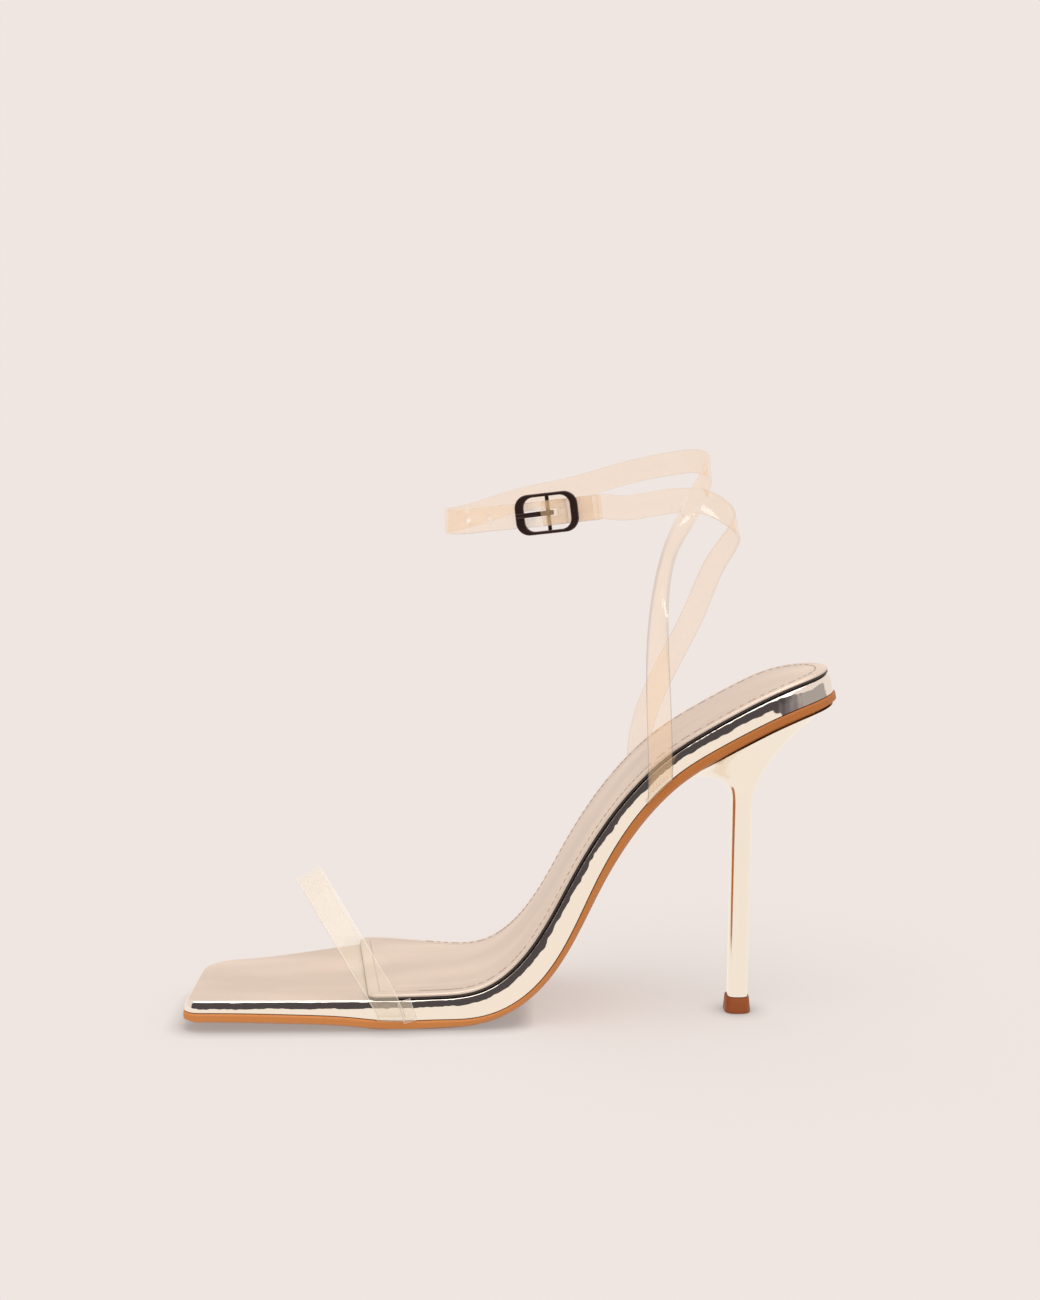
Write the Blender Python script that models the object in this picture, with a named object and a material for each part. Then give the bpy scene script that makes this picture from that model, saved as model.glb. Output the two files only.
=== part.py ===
"""A strappy heeled sandal, right foot: square toe, slim high heel, clear straps.

Lengths are in metres. +Z is up, -X is towards the toe and -Y is the inner side.
The sole stands on Z = 0 and the origin is the middle of the sandal's footprint.
"""

import math
from collections import namedtuple

import bmesh
import bpy
import numpy as np
from mathutils import Quaternion, Vector

MM = 0.001

# Sole, as seen from above
SOLE_LENGTH = 198.8 * MM
SOLE_WIDTH = 69.5 * MM
SEAT_HEIGHT = 111.0 * MM
BACK_ROUND = 22.0 * MM
TOE_CORNER_INNER = 5.0 * MM
TOE_CORNER_OUTER = 12.0 * MM

# Layers of the sole, from the footbed down
SOCK_THICKNESS = 1.5 * MM
SOCK_START = 55.9 * MM
SOCK_SLANT = 7.0 * MM
SOCK_CORNER = 4.0 * MM
SOCK_MARGIN = 0.6 * MM
SOCK_EDGE_ROUND = 0.45 * MM
CUSHION_RISE = 0.5 * MM
CUSHION_MARGIN = 7.0 * MM
CUSHION_SHOULDER = 3.0 * MM
SOLE_THICKNESS = 11.35 * MM
OUTSOLE_THICKNESS = 3.3 * MM
OUTSOLE_LIP = 0.4 * MM
OUTSOLE_CHAMFER = 1.1 * MM
OUTSOLE_CHAMFER_WIDTH = 1.8 * MM
BOARD_EDGE_ROUND = 1.2 * MM
SEAM = 0.3 * MM

# Heel and its tip; the powers shape its corners, its back, its front fillet and its seat
HEEL_FRONT = 145.5 * MM
HEEL_AXIS = 172.5 * MM
HEEL_SIDE_SHIFT = 0.8 * MM
HEEL_INSET = 0.9 * MM
COLUMN_LENGTH = 6.3 * MM
COLUMN_WIDTH = 8.2 * MM
COLUMN_TOP = 66.5 * MM
COLUMN_LEAN = 0.9 * MM
COLUMN_SQUARENESS = 3.2
HEEL_BACK_FLARE = 1.65
HEEL_FRONT_FILLET = 3.0
SEAT_SPACING = 0.75
SEAT_FRONT_ROUND = 0.35
TIP_HEIGHT = 4.9 * MM
TIP_SPREAD = 0.55 * MM
TIP_FOOT_SPREAD = 1.0 * MM
TIP_EDGE_ROUND = 0.5 * MM

# Straps
STRAP_WIDTH = 7.4 * MM
STRAP_THICKNESS = 1.0 * MM
TOE_STRAP_WIDTH = 8.3 * MM
TOE_STRAP_INNER = 61.7 * MM
TOE_STRAP_OUTER = 45.5 * MM
TOE_STRAP_RISE = 31.2 * MM
TOE_STRAP_LEAN = 17.0 * MM
TOE_STRAP_TAB_LEAN = 2.4 * MM
TOE_STRAP_FACING = (-0.5, 0.0, 1.0)
QUARTER_INNER = 145.6 * MM
QUARTER_OUTER = 142.5 * MM
TUCK_DEPTH = 9.0 * MM
TUCK_WIDTH = 8.0 * MM
TOE_FOOT_DROP = 0.6 * SOLE_THICKNESS
QUARTER_FOOT_DROP = 1.3 * SOLE_THICKNESS

# Opening that the ankle straps stand round
ANKLE_FRONT = 81.2 * MM
ANKLE_BACK = 170.7 * MM
ANKLE_BACK_HEIGHT = 151.0 * MM
ANKLE_BACK_LEAN = 0.3
ANKLE_WIDTH = 53.0 * MM
ANKLE_CENTRE = 22.5 * MM
ANKLE_HEIGHT = 158.0 * MM
CROSSING_STEP = 0.75 * MM

# Buckle, with its centre bar as the middle
BUCKLE_TURN = 106.0
BUCKLE_TILT = 6.5
BUCKLE_LEFT = 9.4 * MM
BUCKLE_RIGHT = 9.3 * MM
BUCKLE_HEIGHT = 12.0 * MM
BUCKLE_LEFT_END = 2.6 * MM
BUCKLE_RIGHT_END = 2.2 * MM
BUCKLE_SIDE = 0.95 * MM
BUCKLE_THICKNESS = 1.6 * MM
BUCKLE_CORNER = 4.0 * MM
BUCKLE_EDGE_ROUND = 0.25 * MM
BAR_RADIUS = 0.6 * MM
BAR_CLEARANCE = 0.4 * MM
BAR_FLATNESS = 0.85
PRONG_WIDTH = 1.5 * MM
PRONG_THICKNESS = 0.8 * MM
LOOP_NECK = 4.2 * MM
LOOP_HUMP = 0.95 * MM
TAIL_LENGTH = 15.6 * MM
WELD_PLACE = 13.9 * MM
WELD_LENGTH = 1.2 * MM
HOLE_PITCH = 7.5 * MM
HOLE_RADIUS = 0.9 * MM
HOLE_PLACES = (-3.42, -2.42, 0.58)
PRONG_SLOT = (-7.2 * MM, -1.8 * MM)
LOOP_SLOT = (-3.0 * MM, 2.6 * MM)

# Heights over the leg inside the buckle
STACK = 1.0 * MM
BAR_LEVEL = 2.0 * STACK
FRAME_LEVEL = 4.7 * STACK
LEG_TO_STRAP = 3.1 * STACK
CUT_THROUGH = 8.0 * STACK

# How finely curves are cut
SLOPE_STEP = 0.5 * MM
ALONG_STEP = 5.0 * MM
PATH_STEP = 0.4 * MM
BEND_STEP = math.radians(9.0)
LONG_STEP = 7.0 * MM
SETTLE_ROUNDS = 30
SMOOTH_ANGLE = 40.0
STRAP_EDGE_ANGLE = 30.0
CORNER_ANGLES = (0, 18, 36, 54, 72, 90)
BACK_ANGLES = (14, 28, 42, 55, 66, 75, 82, 87)
HEEL_SIDES = 16
HEEL_RISES = (0.985, 0.94, 0.87, 0.78, 0.67, 0.54, 0.40, 0.26, 0.12, 0.0)
TOE_STRAP_STEPS = 12
HOLE_SIDES = 12
BAR_SIDES = 10
BUCKLE_CORNER_STEPS = 6


def table(columns, *rows):
    """Short table whose rows have named columns."""
    row_type = namedtuple("Row", columns)
    return [row_type(*row) for row in rows]


# Footbed line: share of the length from the toe, share of the seat's height
FOOTBED = table(
    "along height",
    (0.000, 0.1018), (0.150, 0.1014), (0.300, 0.1012), (0.397, 0.1036), (0.458, 0.1198),
    (0.503, 0.1720), (0.533, 0.2340), (0.564, 0.3230), (0.596, 0.4310), (0.641, 0.5660),
    (0.687, 0.6750), (0.732, 0.7570), (0.792, 0.8340), (0.853, 0.8970), (0.913, 0.9490),
    (1.000, 0.9910),
)

# Plan outline: share of the length, then the inner and outer edges as shares of the width
OUTLINE = table(
    "along inner outer",
    (0.000, 0.000, 0.690), (0.065, 0.000, 0.713), (0.150, 0.000, 0.812), (0.220, 0.000, 0.922),
    (0.285, 0.000, 0.997), (0.340, 0.002, 0.975), (0.400, 0.008, 0.910), (0.490, 0.024, 0.838),
    (0.580, 0.036, 0.778), (0.655, 0.020, 0.712), (0.730, -0.016, 0.655), (0.830, -0.052, 0.612),
    (0.900, -0.058, 0.598),
)

# Depth of the whole sole under the footbed line as a share of its thickness, and the thickness of the
# outsole as a share of its own, against the share of the length
DEPTH = table(
    "along depth outsole",
    (0.000, 0.775, 1.00), (0.100, 0.795, 1.00), (0.180, 0.835, 1.00), (0.255, 0.905, 1.00),
    (0.310, 1.005, 1.00), (0.400, 1.005, 0.92), (0.460, 1.025, 0.72), (0.515, 1.040, 0.60),
    (0.570, 0.970, 0.64), (0.640, 0.920, 0.86), (0.750, 0.935, 1.00), (0.900, 0.975, 1.00),
    (1.000, 0.985, 1.00),
)

# How far the opening's back stands off its leaning line: share of the ankle's height, share of its width
BACK_SHIFT = table(
    "height shift",
    (0.940, 0.000), (0.960, 0.019), (0.989, -0.034), (1.009, -0.064),
    (1.029, -0.053), (1.059, -0.045), (1.089, -0.058),
)

# Inner ankle strap: turn round the ankle from its back, inner side first, share of its height,
# and how far the strap is twisted out of the flat there, in degrees
INNER_STRAP = table(
    "turn height twist",
    (73.6, 0.760, 22.0), (66.6, 0.880, 38.0), (60.2, 0.937, 34.0), (48.0, 0.987, 16.0),
    (30.0, 1.041, 0.0), (16.0, 1.068, 0.0), (0.0, 1.083, 0.0), (-22.0, 1.091, 0.0),
    (-41.0, 1.085, 0.0), (-63.0, 1.070, 0.0), (-91.0, 1.037, 0.0), (-120.0, 1.010, 0.0),
    (-143.0, 0.987, 0.0), (-180.0, 0.978, 0.0), (-212.0, 0.981, 0.0), (-228.0, 0.988, 0.0),
)

# Outer ankle strap, in the same way, and how far it stands outside the inner one in steps
OUTER_STRAP = table(
    "turn height step",
    (-52.0, 0.787, 0.0), (-33.0, 0.892, 0.3), (-12.0, 0.955, 1.0), (4.0, 0.981, 1.0),
    (20.0, 1.006, 1.0), (38.0, 1.020, 1.0), (61.0, 1.016, 1.0), (76.0, 1.009, 0.0),
)

# Inner strap through the buckle: share of the buckle's half from the bar, height over the leg in steps
TAIL_THROUGH = table(
    "along level",
    (-1.00, 3.1), (-0.74, 3.1), (-0.42, 4.25), (0.00, 4.8),
    (0.42, 4.25), (0.74, 3.1), (1.15, 3.1), (1.62, 3.1),
)

# Prong from its hook to the frame's end: share of the buckle's half from the bar, height in steps
PRONG_RUN = table(
    "along level",
    (-0.222, 3.75), (-0.424, 4.90), (-0.626, 6.00), (-0.768, 6.20), (-0.970, 6.20),
)


def natural_spline(xs, ys):
    """Smooth curve through the given values, straight on past its ends."""
    xs = np.array(xs)
    ys = np.array(ys)
    count = len(xs)
    gaps = np.diff(xs)
    rises = np.diff(ys) / gaps
    system = np.eye(count)
    right = np.zeros(count)
    for i in range(1, count - 1):
        system[i, i - 1:i + 2] = (gaps[i - 1], 2 * (gaps[i - 1] + gaps[i]), gaps[i])
        right[i] = 6 * (rises[i] - rises[i - 1])
    bends = np.linalg.solve(system, right)

    def value(x):
        i = int(np.clip(np.searchsorted(xs, x) - 1, 0, count - 2))
        t = x - xs[i]
        gap = gaps[i]
        start = rises[i] - gap * (2 * bends[i] + bends[i + 1]) / 6
        if x < xs[0]:
            return ys[0] + start * t
        if x > xs[-1]:
            end = rises[-1] + gap * (bends[-2] + 2 * bends[-1]) / 6
            return ys[-1] + end * (x - xs[-1])
        return ys[i] + start * t + bends[i] * t ** 2 / 2 + (bends[i + 1] - bends[i]) * t ** 3 / (6 * gap)

    return value


def along_sole(rows, column, scale):
    """Curve through one column of a table, against the place along the sole."""
    places = [row.along * SOLE_LENGTH for row in rows]
    return natural_spline(places, [getattr(row, column) * scale for row in rows])


footbed_height = along_sole(FOOTBED, "height", SEAT_HEIGHT)
inner_edge = along_sole(OUTLINE, "inner", SOLE_WIDTH)
outer_edge = along_sole(OUTLINE, "outer", SOLE_WIDTH)
whole_depth = along_sole(DEPTH, "depth", SOLE_THICKNESS)
outsole_thickness = along_sole(DEPTH, "outsole", OUTSOLE_THICKNESS)


def slope_at(curve, along):
    return (curve(along + SLOPE_STEP) - curve(along - SLOPE_STEP)) / (2 * SLOPE_STEP)


def place(along, across, depth):
    """Point under the footbed line: from the toe, from the inner side, square into the sole."""
    slope = slope_at(footbed_height, along)
    stretch = math.hypot(1.0, slope)
    height = footbed_height(along) - depth / stretch
    return Vector((along + depth * slope / stretch, across, max(height, 0.0)))


def top_of_outsole(along):
    return whole_depth(along) - outsole_thickness(along)


def bottom_of_board(along):
    return top_of_outsole(along) - SEAM


def along_above(x, depth_at):
    """Place on the footbed line whose point, sunk by the depth, ends at this x."""
    along = x
    for settle in range(SETTLE_ROUNDS):
        along += (x - place(along, 0.0, depth_at(along)).x) / 2
    return along


def rim(side, along):
    """Middle of a strap that runs down the sole's edge, in plan, and the level way out from there."""
    edge = inner_edge if side < 0 else outer_edge
    outward = Vector((-slope_at(edge, along), 1.0, 0.0)).normalized() * side
    lower_edge = edge(along_above(along, bottom_of_board))
    widest = max(side * lower_edge, side * edge(along)) * side
    return Vector((along, widest, 0.0)) + outward * (SEAM + STRAP_THICKNESS / 2), outward


def toe_foot(side, along):
    """Foot of the toe strap: on the rim, its way out, and where it leans to at the outsole."""
    foot, outward = rim(side, along)
    backward = Vector((outward.y, -outward.x, 0.0)) * side
    return foot, outward, foot + backward * TOE_STRAP_TAB_LEAN


def strap_feet():
    """Side and place along the sole of each tucked strap end: two of the toe strap, two of the ankle's."""
    toe_feet = [
        (side, toe_foot(side, along)[2].x) for side, along in ((-1, TOE_STRAP_INNER), (1, TOE_STRAP_OUTER))
    ]
    return toe_feet + [(-1, rim(-1, QUARTER_INNER)[0].x), (1, rim(1, QUARTER_OUTER)[0].x)]


def edges(front, back, inset, corners, slant=0.0):
    """Pairs of plan points, inner and outer, from the front edge to the rounded back."""
    start = front + inset
    middle = back - BACK_ROUND
    radius = BACK_ROUND - inset
    inner_corner = max(corners[0] - inset, MM)
    outer_corner = max(corners[1] - inset, MM)
    stops = [start + outer_corner * (1 - math.cos(math.radians(angle))) for angle in CORNER_ANGLES]
    count = max(2, round((middle - front - corners[1]) / ALONG_STEP))
    stops += [stops[-1] + (middle - stops[-1]) * i / count for i in range(1, count + 1)]
    pairs = []
    for along in stops:
        reach = along - start
        near = inner_edge(along) + inset + corner_cut(reach, inner_corner)
        far = outer_edge(along) - inset - corner_cut(reach, outer_corner)
        shift = slant * (middle - along) / (middle - start)
        pairs.append(((along, near), (along - shift, far)))
    centre = (inner_edge(middle) + outer_edge(middle)) / 2
    half = (outer_edge(middle) - inner_edge(middle)) / 2 - inset
    for angle in BACK_ANGLES:
        turn = math.radians(angle)
        along = middle + radius * math.sin(turn)
        pairs.append(((along, centre - half * math.cos(turn)), (along, centre + half * math.cos(turn))))
    return pairs


def corner_cut(reach, radius):
    """How much a rounded corner takes off the width at this distance from the front."""
    if reach >= radius:
        return 0.0
    return radius - math.sqrt(max(radius ** 2 - (radius - reach) ** 2, 0.0))


def new_object(name, verts, faces, material, smooth_angle=SMOOTH_ANGLE):
    """One closed body, its faces turned outward, shaded smooth but for its sharp edges."""
    mesh = bpy.data.meshes.new(name)
    mesh.from_pydata([tuple(v) for v in verts], [], faces)
    work = bmesh.new()
    work.from_mesh(mesh)
    bmesh.ops.recalc_face_normals(work, faces=work.faces[:])
    work.to_mesh(mesh)
    work.free()
    mesh.shade_smooth()
    mesh.set_sharp_from_angle(angle=math.radians(smooth_angle))
    piece = bpy.data.objects.new(name, mesh)
    bpy.context.collection.objects.link(piece)
    if material:
        mesh.materials.append(material)
    return piece


def layered(name, layers, material):
    """Solid from outlines stacked from the top down, closed straight across between edge pairs."""
    verts = []
    faces = []
    pair_count = len(layers[0])
    ring = 2 * pair_count
    for layer in layers:
        verts += [near for near, far in layer]
        verts += [far for near, far in reversed(layer)]
    for level in range(len(layers) - 1):
        base = level * ring
        for i in range(ring):
            j = (i + 1) % ring
            faces.append((base + i, base + j, base + ring + j, base + ring + i))
    for base in (0, (len(layers) - 1) * ring):
        for i in range(pair_count - 1):
            faces.append((base + i, base + i + 1, base + ring - 2 - i, base + ring - 1 - i))
    return new_object(name, verts, faces, material)


def sole_layer(pairs, depth_at):
    """Edge pairs sunk into the sole by a depth that may change along it."""
    return [(place(*near, depth_at(near[0])), place(*far, depth_at(far[0]))) for near, far in pairs]


def sole_slab(name, front, back, rows, corners, material, slant=0.0):
    """Layer of the sole: each row is an inset and a depth function, from the top down."""
    layers = [sole_layer(edges(front, back, inset, corners, slant), depth_at) for inset, depth_at in rows]
    return layered(name, layers, material)


def lofted(name, rings, material, smooth_angle=SMOOTH_ANGLE):
    """Solid through rings with the same number of points, with flat ends."""
    count = len(rings[0])
    verts = [point for ring in rings for point in ring]
    faces = []
    for level in range(len(rings) - 1):
        base = level * count
        for i in range(count):
            j = (i + 1) % count
            faces.append((base + i, base + j, base + count + j, base + count + i))
    faces.append(tuple(range(count)))
    faces.append(tuple(range((len(rings) - 1) * count, len(rings) * count)))
    return new_object(name, verts, faces, material, smooth_angle)


def as_cutter(piece):
    piece.hide_render = True
    piece.display_type = "WIRE"
    return piece


def combine(piece, other, operation):
    """Boolean of two closed bodies, worked out at once, after which the second is gone."""
    modifier = piece.modifiers.new("combine", "BOOLEAN")
    modifier.operation = operation
    modifier.solver = "EXACT"
    modifier.object = other
    bpy.context.view_layer.update()
    depsgraph = bpy.context.evaluated_depsgraph_get()
    result = bpy.data.meshes.new_from_object(piece.evaluated_get(depsgraph))
    piece.modifiers.clear()
    piece.data = result
    bpy.data.objects.remove(other)
    return piece


def smooth_through(reach, vectors):
    """Smooth curve of vectors, against the way along a path."""
    curves = [natural_spline(reach, [vector[axis] for vector in vectors]) for axis in range(3)]
    return lambda way: Vector([curve(way) for curve in curves])


def thinned(points):
    """Indexes of the points that keep each bend under BEND_STEP and each run under LONG_STEP."""
    kept = [0]
    heading = (points[1] - points[0]).normalized()
    for i in range(1, len(points) - 1):
        ahead = (points[i + 1] - points[i]).normalized()
        bend = heading.angle(ahead)
        run = (points[i] - points[kept[-1]]).length
        if bend > BEND_STEP or run > LONG_STEP:
            kept.append(i)
            heading = ahead
    kept.append(len(points) - 1)
    return kept


def ribbon(name, points, widths_along, width, thickness, material):
    """Flat strap along a path; widths_along gives its width direction at each given point."""
    runs = [(b - a).length for a, b in zip(points, points[1:])]
    reach = np.concatenate(([0.0], np.cumsum(runs)))
    middle_at = smooth_through(reach, points)
    side_at = smooth_through(reach, [side.normalized() for side in widths_along])
    count = int(reach[-1] / PATH_STEP)
    ways = [reach[-1] * i / count for i in range(count + 1)]
    dense = [middle_at(way) for way in ways]
    rings = []
    for i in thinned(dense):
        before = dense[max(i - 1, 0)]
        after = dense[min(i + 1, len(dense) - 1)]
        heading = (after - before).normalized()
        side = side_at(ways[i])
        side = (side - heading * side.dot(heading)).normalized() * width / 2
        face = side.cross(heading).normalized() * thickness / 2
        centre = dense[i]
        above = [centre + side + face, centre - side + face]
        rings.append(above + [centre - side - face, centre + side - face])
    return lofted(name, rings, material, STRAP_EDGE_ANGLE)


def material(name, colour, roughness, metallic, alpha=1.0):
    look = bpy.data.materials.new(name)
    look.use_nodes = True
    shader = look.node_tree.nodes["Principled BSDF"]
    shader.inputs["Base Color"].default_value = (*colour, 1.0)
    shader.inputs["Roughness"].default_value = roughness
    shader.inputs["Metallic"].default_value = metallic
    shader.inputs["Alpha"].default_value = alpha
    look.diffuse_color = (*colour, 1.0)
    return look


def build_sole():
    foil = material("mirror_foil", (0.86, 0.72, 0.62), 0.08, 1.0)
    satin = material("satin_sock", (0.60, 0.45, 0.36), 0.42, 0.55)
    tan = material("tan_outsole", (0.42, 0.20, 0.09), 0.45, 0.0)
    toe_corners = (TOE_CORNER_INNER, TOE_CORNER_OUTER)
    board_top = SOCK_THICKNESS + SEAM

    def at(depth):
        return lambda along: depth

    def chamfer_top(along):
        return whole_depth(along) - OUTSOLE_CHAMFER

    board_rows = []
    for turn in (0.0, math.pi / 6, math.pi / 3, math.pi / 2):
        inset = BOARD_EDGE_ROUND * (1 - math.sin(turn))
        board_rows.append((inset, at(board_top + BOARD_EDGE_ROUND * (1 - math.cos(turn)))))
    board_rows.append((0.0, bottom_of_board))
    board = sole_slab("wrapped_board", 0.0, SOLE_LENGTH, board_rows, toe_corners, foil)

    outsole_rows = [
        (-OUTSOLE_LIP, top_of_outsole),
        (-OUTSOLE_LIP, chamfer_top),
        (OUTSOLE_CHAMFER_WIDTH, whole_depth),
    ]
    outsole = sole_slab("outsole", 0.0, SOLE_LENGTH, outsole_rows, toe_corners, tan)

    plateau = SOCK_MARGIN + CUSHION_MARGIN + CUSHION_SHOULDER
    sock_rows = []
    for turn in (0.0, math.pi / 4, math.pi / 2):
        sock_rows.append((plateau - CUSHION_SHOULDER * math.sin(turn), at(-CUSHION_RISE * math.cos(turn))))
    sock_rows += [
        (SOCK_MARGIN + SOCK_EDGE_ROUND, at(0.0)),
        (SOCK_MARGIN, at(SOCK_EDGE_ROUND)),
        (SOCK_MARGIN, at(SOCK_THICKNESS)),
    ]
    corners = (SOCK_CORNER, SOCK_CORNER)
    sock = sole_slab("sock", SOCK_START, SOLE_LENGTH, sock_rows, corners, satin, SOCK_SLANT)
    return board, outsole, sock


def rounded_section(centre, half_length, half_width, height, turns):
    """Level ring round the heel: a rectangle with well rounded corners."""
    ring = []
    for turn in turns:
        c = math.cos(turn)
        s = math.sin(turn)
        x = math.copysign(abs(c) ** (2 / COLUMN_SQUARENESS), c) * half_length
        y = math.copysign(abs(s) ** (2 / COLUMN_SQUARENESS), s) * half_width
        ring.append(Vector((centre[0] + x, centre[1] + y, height)))
    return ring


def build_heel():
    """Slim column that spreads like a horn to the seat, and the tip under it."""
    foil = material("mirror_heel", (0.90, 0.70, 0.58), 0.07, 1.0)
    rubber = material("heel_tip", (0.32, 0.15, 0.08), 0.5, 0.0)
    turns = [math.pi - math.pi * (i + 0.5) / HEEL_SIDES for i in range(HEEL_SIDES)]
    back = SOLE_LENGTH - HEEL_INSET
    middle = SOLE_LENGTH - BACK_ROUND
    seat_middle = (HEEL_FRONT + back) / 2
    seat_half = (back - HEEL_FRONT) / 2
    seat_centre = (inner_edge(middle) + outer_edge(middle)) / 2
    column_centre = seat_centre + HEEL_SIDE_SHIFT

    def seat_pair(turn):
        """Point pair under the outsole: straight across in front, round at the back."""
        c = math.cos(turn)
        along = seat_middle + seat_half * math.copysign(abs(c) ** SEAT_SPACING, c)
        depth = whole_depth(along) + SEAM
        if along <= middle:
            spread = math.sin(turn) ** SEAT_FRONT_ROUND if c < 0 else 1.0
            centre = (inner_edge(along) + outer_edge(along)) / 2
            half = ((outer_edge(along) - inner_edge(along)) / 2 - HEEL_INSET) * spread
        else:
            centre = seat_centre
            round_share = min((along - middle) / (back - middle), 1.0)
            half = (outer_edge(middle) - inner_edge(middle)) / 2 - HEEL_INSET
            half *= math.sqrt(1 - round_share ** 2)
        return place(along, centre - half, depth), place(along, centre + half, depth)

    def column_pair(turn, height):
        share = 1 - height / COLUMN_TOP
        centre = (HEEL_AXIS - COLUMN_LEAN * share, column_centre)
        ring = rounded_section(centre, COLUMN_LENGTH / 2, COLUMN_WIDTH / 2, height, (-turn, turn))
        return ring[0], ring[1]

    def spread_pair(turn, rise):
        """Between the column and the seat: quick at the back, a tight fillet in front."""
        rear = (1 + math.cos(turn)) / 2
        fillet = 1 - (1 - rise ** HEEL_FRONT_FILLET) ** (1 / HEEL_FRONT_FILLET)
        outward = rear * rise ** HEEL_BACK_FLARE + (1 - rear) * fillet
        pair = []
        for low, high in zip(column_pair(turn, COLUMN_TOP), seat_pair(turn)):
            x = low.x + (high.x - low.x) * outward
            y = low.y + (high.y - low.y) * outward
            z = low.z + (high.z - low.z) * rise
            pair.append(Vector((x, y, z)))
        return tuple(pair)

    layers = [[seat_pair(turn) for turn in turns]]
    for rise in HEEL_RISES:
        layers.append([spread_pair(turn, rise) for turn in turns])
    foot = TIP_HEIGHT + SEAM
    layers.append([column_pair(turn, (COLUMN_TOP + foot) / 2) for turn in turns])
    layers.append([column_pair(turn, foot) for turn in turns])
    heel = layered("heel", layers, foil)

    full_turns = [math.pi * i / HEEL_SIDES for i in range(2 * HEEL_SIDES)]
    tip_centre = (HEEL_AXIS - COLUMN_LEAN, column_centre)
    tip_rows = table(
        "height spread",
        (TIP_HEIGHT, TIP_SPREAD),
        (TIP_EDGE_ROUND, TIP_FOOT_SPREAD),
        (0.0, TIP_FOOT_SPREAD - TIP_EDGE_ROUND),
    )
    rings = []
    for row in tip_rows:
        half_length = COLUMN_LENGTH / 2 + row.spread
        half_width = COLUMN_WIDTH / 2 + row.spread
        rings.append(rounded_section(tip_centre, half_length, half_width, row.height, full_turns))
    tip = lofted("heel_tip", rings, rubber, STRAP_EDGE_ANGLE)
    return heel, tip


def tuck(name, side, along, width, grow, look=None):
    """Strap end under the board: a flat tab on the outsole's top, or its slot when grown."""
    half = width / 2 + grow
    middle = along_above(along, bottom_of_board)
    rings = []
    for share in (-1.0, -0.5, 0.0, 0.5, 1.0):
        at = middle + share * half
        edge = inner_edge(at) if side < 0 else outer_edge(at)
        outer = edge + side * (SEAM + STRAP_THICKNESS + 4 * grow)
        inner = edge - side * (TUCK_DEPTH + grow)
        low = bottom_of_board(at) + grow
        high = bottom_of_board(at) - STRAP_THICKNESS - grow
        around = ((outer, high), (inner, high), (inner, low), (outer, low))
        rings.append([place(at, across, depth) for across, depth in around])
    return lofted(name, rings, look, STRAP_EDGE_ANGLE)


def under_cutter(name, along, width, side):
    """Block that fills what lies below the board's underside round a strap end."""
    middle = along_above(along, bottom_of_board)
    wide = Vector((0, 3 * width, 0))
    deep = Vector((0, 0, 2 * SOLE_THICKNESS))
    rings = []
    for i in range(-5, 6):
        at = middle + width * i / 4
        edge = inner_edge(at) if side < 0 else outer_edge(at)
        high = place(at, edge, bottom_of_board(at))
        rings.append([high + wide, high - wide, high - deep - wide, high - deep + wide])
    return as_cutter(lofted(name, rings, None))


def seat_on_sole(strap, side, along, width):
    """Cut a strap off at the outsole and give it its tucked tab."""
    combine(strap, under_cutter("under", along, width, side), "DIFFERENCE")
    combine(strap, tuck("tab", side, along, width, 0.0, strap.data.materials[0]), "UNION")


def build_toe_strap(plastic):
    """Clear strap over the toes, leaning forward, with its ends tucked under the board."""
    near, near_out, near_low = toe_foot(-1, TOE_STRAP_INNER)
    far, far_out, far_low = toe_foot(1, TOE_STRAP_OUTER)
    shoulder = footbed_height(TOE_STRAP_INNER) - SOCK_THICKNESS
    points = []
    sides = []

    def arch(angle):
        share = (1 - math.cos(angle)) / 2
        x = near.x + (far.x - near.x) * share - TOE_STRAP_LEAN * math.sin(angle)
        y = near.y + (far.y - near.y) * share
        return Vector((x, y, shoulder + TOE_STRAP_RISE * math.sin(angle)))

    tab_end = Vector((0, 0, shoulder - TOE_FOOT_DROP))
    points.append(near_low + tab_end)
    for i in range(TOE_STRAP_STEPS + 1):
        points.append(arch(math.pi * i / TOE_STRAP_STEPS))
    points.append(far_low + tab_end)
    for i in range(len(points)):
        angle = math.pi * min(max(i - 1, 0), TOE_STRAP_STEPS) / TOE_STRAP_STEPS
        facing = math.cos(angle)
        outward = near_out * max(facing, 0.0) + far_out * max(-facing, 0.0)
        outward += Vector(TOE_STRAP_FACING) * math.sin(angle)
        ahead = points[min(i + 1, len(points) - 1)] - points[max(i - 1, 0)]
        sides.append(outward.cross(ahead))
    strap = ribbon("toe_strap", points, sides, TOE_STRAP_WIDTH, STRAP_THICKNESS, plastic)
    for side, along in strap_feet()[:2]:
        seat_on_sole(strap, side, along, TUCK_WIDTH)
    return strap


def ankle_point(turn, height, out=0.0):
    """Point on the opening round the ankle, and the way out from it."""
    heights = [row.height for row in BACK_SHIFT]
    shift = np.interp(height / ANKLE_HEIGHT, heights, [row.shift for row in BACK_SHIFT]) * ANKLE_WIDTH
    back = ANKLE_BACK - ANKLE_BACK_LEAN * (height - ANKLE_BACK_HEIGHT) + shift
    centre = (back + ANKLE_FRONT) / 2
    half_length = (back - ANKLE_FRONT) / 2
    half_width = ANKLE_WIDTH / 2
    c = math.cos(math.radians(turn))
    s = math.sin(math.radians(turn))
    outward = Vector((c / half_length, -s / half_width, 0)).normalized()
    return Vector((centre + half_length * c, ANKLE_CENTRE - half_width * s, height)) + outward * out, outward


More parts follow.
